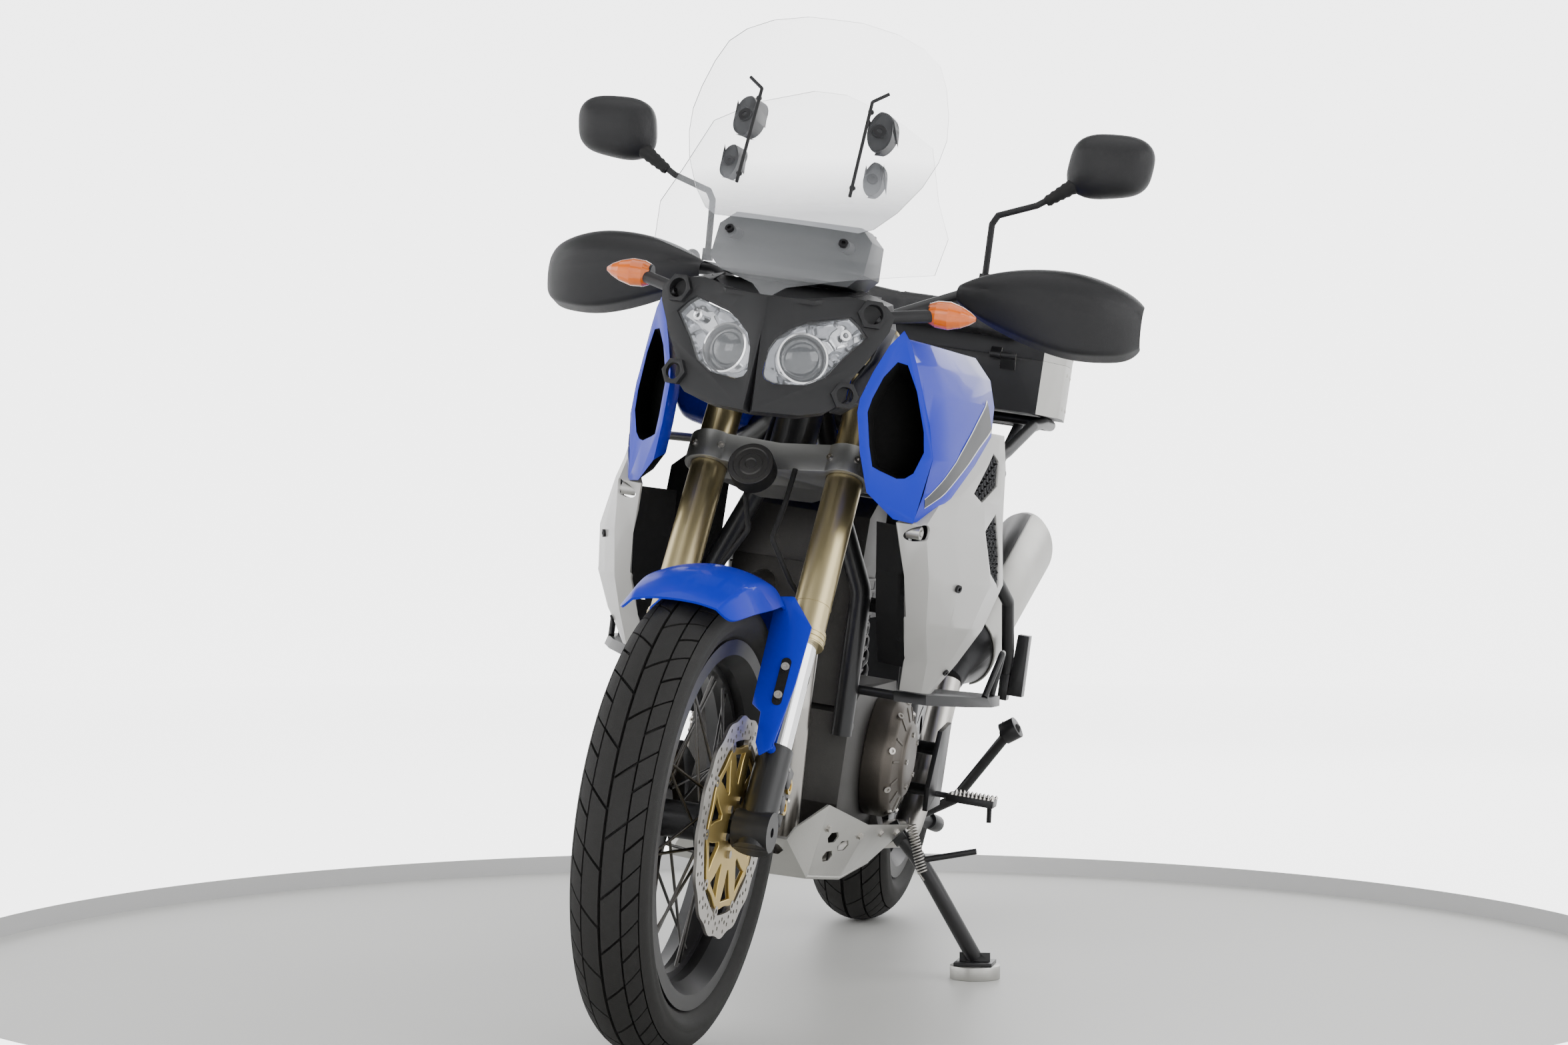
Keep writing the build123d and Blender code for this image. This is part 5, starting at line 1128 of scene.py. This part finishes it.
# skid plate: six-sided slots, bolts and a weld bead along each bend
skid = {"sideSlots": [(1100, 284), (1052, 268), (1096, 254)], "frontSlots": [(52, 262), (-52, 262)],
        "frontX": 1180, "long": 19, "high": 8, "bolts": [(1130, 300), (1010, 282), (900, 278), (800, 272)],
        "beads": 64, "beadX": (1148, 768), "beadY": (109, 130), "beadZ": (225, 212), "taper": 2.5}


def slotPrism(bm, turn, middle, reach):
    long, high = skid["long"], skid["high"]
    half = [(long, 0), (long - high, -high), (-long + high, -high)]
    verts = flat(bm, [[(-x, -y) for x, y in half] + half], reach * 2)
    shift(bm, (0, 0, -reach), verts)
    move(bm, Matrix.Translation(middle) @ turn @ Matrix.Rotation(math.radians(90), 4, "X"), verts)


def cutBy(bm, cutter):  # takes one closed shape out of another
    parts = []
    for source in (bm, cutter):
        outward(source)
        parts.append(linked("cutPart", meshOf(source)))
    step = parts[0].modifiers.new("cut", "BOOLEAN")
    step.operation, step.solver, step.object = "DIFFERENCE", "EXACT", parts[1]
    mesh = evaluated(parts[0])
    for part in parts:
        bpy.data.objects.remove(part)
    return bmeshOf(mesh)


tool = bmesh.new()
for x, z in skid["sideSlots"]:
    slotPrism(tool, Matrix.Identity(4), (x, 0, z), 260)
for y, z in skid["frontSlots"]:
    slotPrism(tool, Matrix.Rotation(math.radians(90), 4, "Z"), (skid["frontX"], y, z), 26)
move(tool, bike @ mm)
plate = cutBy(copyOf("skid_plate"), tool)
soften(plate, 0.0009, 40, 1)
replacing(plate, "skid_plate", "skidPlateSkin", brushedAlloy, "alloy", 30)
rows = [("skid_plate", bike, inward(side, x, z, 300), 5.2) for side in (1, -1) for x, z in skid["bolts"]]
fixings("skidBolts", "chassis", steel, "steel", rows, hexShape)
bead = bmesh.new()
for side in (1, -1):
    for k in range(skid["beads"]):
        t = k / (skid["beads"] - 1)
        bend = min(t * skid["taper"], 1)
        x = skid["beadX"][0] + (skid["beadX"][1] - skid["beadX"][0]) * t
        y, z = (a + (b - a) * bend for a, b in (skid["beadY"], skid["beadZ"]))
        stamp(bead, rivetShape, seat("skid_plate", bike, (x, side * (y + 40), z - 40), (0, -side, 1), 0.6), 3.0)
keep(bead, "skidWeld", "chassis", brushedAlloy, "alloy", 50)
print("stage: skid plate ready")

# brake and fork: caliper caps, bolts, the horn's face and the tubes' collars
brake = {"caps": [(-36, 452), (-36, 420)], "capRadius": 11, "capDome": 6,
         "bolts": [(-12, 466), (-12, 406), (-52, 437)], "clampBolts": (84, 124), "clampZ": 927}
horn = {"middle": (103.2, -20, 884),
        "line": [(0, 33.6), (1.6, 32.5), (1.8, 27), (0.6, 25), (0.6, 18), (2.2, 16), (2.6, 9), (1.2, 7),
                 (1.4, 0.2)]}
capRing = shape(lambda bm: flat(bm, [circle(1, 24), circle(0.55, 16)], 0.35))
caps, rows = bmesh.new(), []
for side in (1, -1):
    for x, z in brake["caps"]:
        point, direction = inward(side, x, z, 300)
        stamp(caps, capRing, seat("front_calipers", steer, point, direction, 0.3), brake["capRadius"])
        stamp(caps, rivetShape, seat("front_calipers", steer, point, direction, 0.2), brake["capDome"])
    rows += [("front_calipers", steer, inward(side, x, z, 300), 5) for x, z in brake["bolts"]]
    for y in brake["clampBolts"]:
        rows.append(("triple_clamps", steer, ((100, side * y, brake["clampZ"]), (-1, 0, 0)), 5))
keep(caps, "caliperCaps", "steering", goldPart, "gold", 40)
fixings("forkBolts", "steering", steel, "steel", rows)
bm = bmesh.new()
spun(bm, horn["line"], 40, xAxis)
shift(bm, horn["middle"])
move(bm, steer @ mm)
keep(bm, "hornFace", "steering", castAlloy, "dark_alloy", 30)
collars = bmesh.new()
for y in (fork["y"], -fork["y"]):
    for z, reach in fork["collars"]:
        collar = bmesh.new()
        section = [(z - 2, reach - 2), (z - 1.2, reach), (z + 1.2, reach), (z + 2, reach - 2)]
        spun(collar, section, 40, zAxis, closed=True)
        shift(collar, (fork["x"], y, 0))
        move(collar, steer @ mm)
        collars.from_mesh(meshOf(collar))
keep(collars, "forkCollars", "steering", goldTube, "gold", 40)

# rubber splash sheet between the right inner cowl and the frame, (y, z) at one x
splash = {"x": 1.1, "thick": 2.5,
          "outline": [(-112, 838), (-176, 834), (-206, 806), (-214, 640), (-150, 618), (-112, 618)]}
bm = bmesh.new()
flat(bm, [splash["outline"]], splash["thick"])
move(bm, bike @ axesMatrix(yAxis, zAxis, xAxis, xAxis * splash["x"]) @ mm)
outward(bm)
keep(bm, "splashSheet", "chassis", softBlack, "rubber", 30)

# front fender: a long slot with two bolts on each wing
fenderSlot = {"x": 80.7, "y": 100, "z": 560, "lean": math.radians(13.5), "half": 30, "radius": 7,
              "bolts": (538, 582), "bolt": 6, "proud": 0.2}


def slotPlate(bm):
    line = []
    for k in range(24):
        x, y = polar(fenderSlot["radius"], math.tau * (k + 0.5) / 24)
        line.append((x, y + math.copysign(fenderSlot["half"], y)))
    flat(bm, [line], 0.5)


def onWing(side, z, proud=0.0):  # a place on a wing's outer face
    lean = Matrix.Rotation(side * fenderSlot["lean"], 4, "Z") @ axesMatrix(yAxis, zAxis, xAxis, (0, 0, 0))
    spot = Matrix.Translation((fenderSlot["x"] + proud, side * fenderSlot["y"], z))
    return steer @ mm @ spot @ lean @ Matrix.Scale(1000, 4)


slotLook, slotBolts, slotShape = bmesh.new(), bmesh.new(), shape(slotPlate)
for side in (1, -1):
    stamp(slotLook, slotShape, onWing(side, fenderSlot["z"]))
    for z in fenderSlot["bolts"]:
        stamp(slotBolts, screwShape, onWing(side, z, fenderSlot["proud"]), fenderSlot["bolt"])
keep(slotLook, "fenderSlots", "steering", softBlack, "black_plastic", 30)
keep(slotBolts, "fenderBolts", "steering", steel, "steel", 35)

# screen knobs, cowl bolts and panel screws
knobs = bmesh.new()
knobLine = [(0, 1), (0.25, 1), (0.4, 0.9), (0.42, 0.35), (0.3, 0.3), (0.3, 0.05)]
knobShape = shape(lambda bm: spun(bm, knobLine, 28, zAxis))
for side in (1, -1):
    for z, y, high, wide in slider["blocks"]:
        stamp(knobs, knobShape, seat("screen_sliders", bike, (1700, side * y, z), (-1, 0, 0), 0.4), wide * 0.62)
keep(knobs, "screenKnobs", "chassis", darkAlloy, "dark_alloy", 40)
cowlBolt = [((1292, 206, 765), (1296, 226, 765), 9.5, 24), ((1296, 226, 765), (1296.4, 228, 765), 5, 6)]
frontScrews = [("windscreen_lower", 82, 1152, 6.5), ("nose_fascia", 150, 1052, 7)]  # y, z and radius
cowlScrews = [(1180, 690, 6), (1104, 560, 5)]  # x, z and radius
rows = []
for side, word in sides:
    for node, y, z, radius in frontScrews:
        rows.append((node, bike, ((1700, side * y, z), (-1, 0, 0)), radius))
    for x, z, radius in cowlScrews:
        rows.append(("side_cowl_" + word.lower(), bike, inward(side, x, z), radius))
    bolt = bmesh.new()
    for (xa, ya, za), (xb, yb, zb), radius, segments in cowlBolt:
        rodTo(bolt, (xa, side * ya, za), (xb, side * yb, zb), radius, segments)
    move(bolt, bike)
    keep(bolt, "cowlBolt" + word, "chassis", brushedAlloy, "alloy", 30)
fixings("panelScrews", "chassis", darkAlloy, "dark_alloy", rows)

# engine covers: a ring of bolts, inner bolts and ribs between them; fins on the cylinders
covers = {"engine_cover_left": {"x": 820, "z": 392, "side": 1, "bolts": 9, "reach": 90},
          "clutch_cover_right": {"x": 795, "z": 385, "side": -1, "bolts": 10, "reach": 96}}
coverRing = {"lead": 0.2, "bolt": 5.5, "inner": 44, "bolts": 5, "innerBolt": 4.2, "ribs": 14, "ribReach": 74,
             "rib": (24, 4, 5)}
cylinder = {"x": 985, "y": 102.5, "z": 530, "fins": 9, "pitch": 18, "fin": (128, 6, 5)}


def ribBlock(bm):
    bmesh.ops.create_cube(bm, size=1)
    bevelled(bm, bm.edges[:], 0.12)


def ringPoint(cover, angle, reach):
    x, z = polar(reach, angle)
    return inward(cover["side"], cover["x"] + x, cover["z"] + z)


ribShape = shape(ribBlock)
ribs, rows = bmesh.new(), []
for node, cover in covers.items():
    for k in range(cover["bolts"]):
        a = math.tau * k / cover["bolts"] + coverRing["lead"]
        rows.append((node, bike, ringPoint(cover, a, cover["reach"]), coverRing["bolt"]))
    for k in range(coverRing["bolts"]):
        a = math.tau * k / coverRing["bolts"]
        rows.append((node, bike, ringPoint(cover, a, coverRing["inner"]), coverRing["innerBolt"]))
    for k in range(coverRing["ribs"]):
        a = math.tau * k / coverRing["ribs"]
        spot = seat(node, bike, *ringPoint(cover, a, coverRing["ribReach"]), 1.0)
        aim = (bike.to_3x3() @ Vector((math.cos(a), 0, math.sin(a)))).normalized()
        up = spot.col[2].xyz.normalized()
        along = (aim - up * aim.dot(up)).normalized()
        place = axesMatrix(along, up.cross(along), up, spot.translation)
        move(ribs, place @ mm @ Matrix.Diagonal((*coverRing["rib"], 1)), added(ribs, ribShape))
fixings("coverBolts", "chassis", steel, "steel", rows)
keep(ribs, "coverRibs", "chassis", bronzeCast, "cover_bronze", 40)
fins = bmesh.new()
for side in (1, -1):
    for k in range(cylinder["fins"]):
        spot = (cylinder["x"], side * cylinder["y"], cylinder["z"] + k * cylinder["pitch"])
        place = bike @ mm @ Matrix.Translation(spot) @ Matrix.Diagonal((*cylinder["fin"], 1))
        move(fins, place, added(fins, ribShape))
keep(fins, "cylinderRibs", "chassis", castAlloy, "engine_grey", 40)
print("stage: engine ready")

# rider's pegs: steel teeth in two rows and across the outer end
peg = {"rows": (595, 645), "y": 234, "pitch": 6.8, "teeth": 11, "endX": 606, "endY": 298, "endPitch": 10,
       "endTeeth": 4, "top": 332.5}
teeth = bmesh.new()
toothShape = shape(lambda bm: bmesh.ops.create_cone(bm, cap_ends=True, segments=4, radius1=1, radius2=0.25,
                                                    depth=1.2))
spots = [(x, peg["y"] + peg["pitch"] * k) for k in range(peg["teeth"]) for x in peg["rows"]]
spots += [(peg["endX"] + peg["endPitch"] * k, peg["endY"]) for k in range(peg["endTeeth"])]
for side in (1, -1):
    for x, y in spots:
        stamp(teeth, toothShape, bike @ Matrix.Translation(Vector((x, side * y, peg["top"])) / 1000), 4)
keep(teeth, "pegTeeth", "chassis", steel, "steel", 30)


# a coil spring between two points on the machine, with straight hooks at its ends
def coil(name, body, look, slot, start, end, radius, wire, turns):
    a, b = Vector(start), Vector(end)
    up = (b - a).normalized()
    out = up.orthogonal().normalized()
    line, hook, count = [a], 0.12, turns * 16
    for k in range(count + 1):
        x, y = polar(radius, math.tau * k / 16)
        share = hook + (1 - 2 * hook) * k / count
        line.append(a + (b - a) * share + out * x + up.cross(out) * y)
    line.append(b)
    curve = bpy.data.curves.new(name, "CURVE")
    curve.dimensions, curve.bevel_depth, curve.bevel_resolution = "3D", wire / 1000, 2
    spline = curve.splines.new("POLY")
    spline.points.add(len(line) - 1)
    for spot, p in zip(spline.points, line):
        spot.co = (*at(bike, *p), 1)
    holder = linked(name + "Line", curve)
    mesh = evaluated(holder)
    bpy.data.objects.remove(holder)
    keep(bmeshOf(mesh), name, body, look, slot, 60)


coil("standSpring", "side_stand", steel, "steel", (748, 186, 292), (752, 226, 196),
     radius=7.5, wire=1.5, turns=16)
coil("shockSpring", "chassis", framePaint, "frame_black", (506, 0, 442), (650, 0, 672),
     radius=41, wire=5.5, turns=7)

# ribbed round pad on the centre stand's lever
pad = {"middle": (423, 286, 432), "groove": 12, "rib": 13.6, "ribs": 10, "pitch": 3.2}
padLine = [(-17, 1), (-17, 9)]
padLine += [(k * pad["pitch"] - 15, pad["groove"] if k % 2 else pad["rib"]) for k in range(pad["ribs"])]
bm = bmesh.new()
spun(bm, padLine + [(17, 10), (18, 1)], 24)
shift(bm, pad["middle"])
move(bm, bike @ mm)
keep(bm, "leverPad", "centre_stand", rubber, "rubber", 50)
print("stage: stands ready")

# seats and back pad, swollen with air from a slightly smaller shape; a seam gives axis, place, width, depth
cushions = {
    "rider_seat": {"shrink": 0.005, "cap": 0.006, "voxel": 0.007,
                   "seams": [("x", 700, 4, 3.0), ("y", 118, 4, 3.0), ("x", 470, 4, 2.0)]},
    "pillion_seat": {"shrink": 0.005, "cap": 0.006, "voxel": 0.007,
                     "seams": [("x", 250, 4, 2.6), ("y", 104, 4, 2.8)]},
    "back_pad": {"shrink": 0.004, "cap": 0.005, "voxel": 0.006,
                 "seams": [("y", 76, 3.5, 3.0), ("y", 0, 3.5, 3.0)]}}
cloth = {"frames": 20, "pressure": 4, "quality": 5}


def swell(piece, cap):  # blows the cloth up, by no more than the cap
    sheet = piece.modifiers.new("cloth", "CLOTH")
    sheet.settings.quality = cloth["quality"]
    sheet.settings.use_pressure = True
    sheet.settings.uniform_pressure_force = cloth["pressure"]
    sheet.settings.effector_weights.gravity = 0
    sheet.point_cache.frame_start, sheet.point_cache.frame_end = 1, cloth["frames"]
    for frameNumber in range(1, cloth["frames"] + 1):
        scene.frame_set(frameNumber)
    swollen = evaluated(piece)
    piece.modifiers.clear()
    scene.frame_set(1)
    for v, w in zip(piece.data.vertices, swollen.vertices):
        step = w.co - v.co
        v.co = v.co + step.normalized() * min(step.length, cap)


def seamDepth(point, seams):
    p = inBike(point)
    gaps = {"x": p.x, "y": abs(p.y)}
    return max(deep * math.exp(-((gaps[axis] - where) / wide) ** 2) for axis, where, wide, deep in seams)


for node, plan in cushions.items():
    bm = copyOf(node)
    soften(bm, 0.010, 20, 3)
    outward(bm)
    piece = linked(node + "Cushion", meshOf(bm))
    grid = piece.modifiers.new("grid", "REMESH")
    grid.mode, grid.voxel_size, grid.use_smooth_shade = "VOXEL", plan["voxel"], True
    start = evaluated(piece)
    piece.modifiers.clear()
    piece.data = start
    for v in start.vertices:
        v.co -= v.normal * plan["shrink"]
    swell(piece, plan["cap"])
    for v, normal in [(v, v.normal.copy()) for v in start.vertices]:
        v.co -= normal * seamDepth(v.co, plan["seams"]) / 1000
    bm = bmeshOf(start)
    bpy.data.objects.remove(piece)
    bmesh.ops.smooth_vert(bm, verts=bm.verts, factor=0.35, use_axis_x=True, use_axis_y=True, use_axis_z=True)
    made = keep(bm, node + "Pad", bodyOf[node], seatVinyl, slotOf[node], 80)
    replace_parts(made, node)
print("stage: seats ready")

# top case: rivets along its sides, latch and lock
case = {"rivetX": (-60, -150, -240), "baseRivets": (1004, 1068), "lidRivets": (1104,),
        "latch": ((-349.5, 0, 1104), (9, 84, 34)), "lock": ((-350, 0, 1060), (7, 30, 26)), "edge": 2.2}


def caseRivets(name, node, heights):
    rows = [(node, bike, inward(side, x, z), 4) for side in (1, -1) for x in case["rivetX"] for z in heights]
    fixings(name, bodyOf[node], steel, "steel", rows, rivetShape)


def caseBlock(name, body, look, slot, middle, size):
    bm = bmesh.new()
    bmesh.ops.create_cube(bm, size=1)
    bmesh.ops.scale(bm, vec=size, verts=bm.verts)
    bevelled(bm, bm.edges[:], case["edge"], 3)
    shift(bm, middle)
    move(bm, bike @ mm)
    keep(bm, name, body, look, slot, 40)


caseRivets("caseRivets", "top_case_base", case["baseRivets"])
caseRivets("lidRivets", "top_case_lid", case["lidRivets"])
caseBlock("caseLatch", "case_lid", darkAlloy, "dark_alloy", *case["latch"])
caseBlock("caseLock", "chassis", steel, "steel", *case["lock"])
print("stage: case ready")
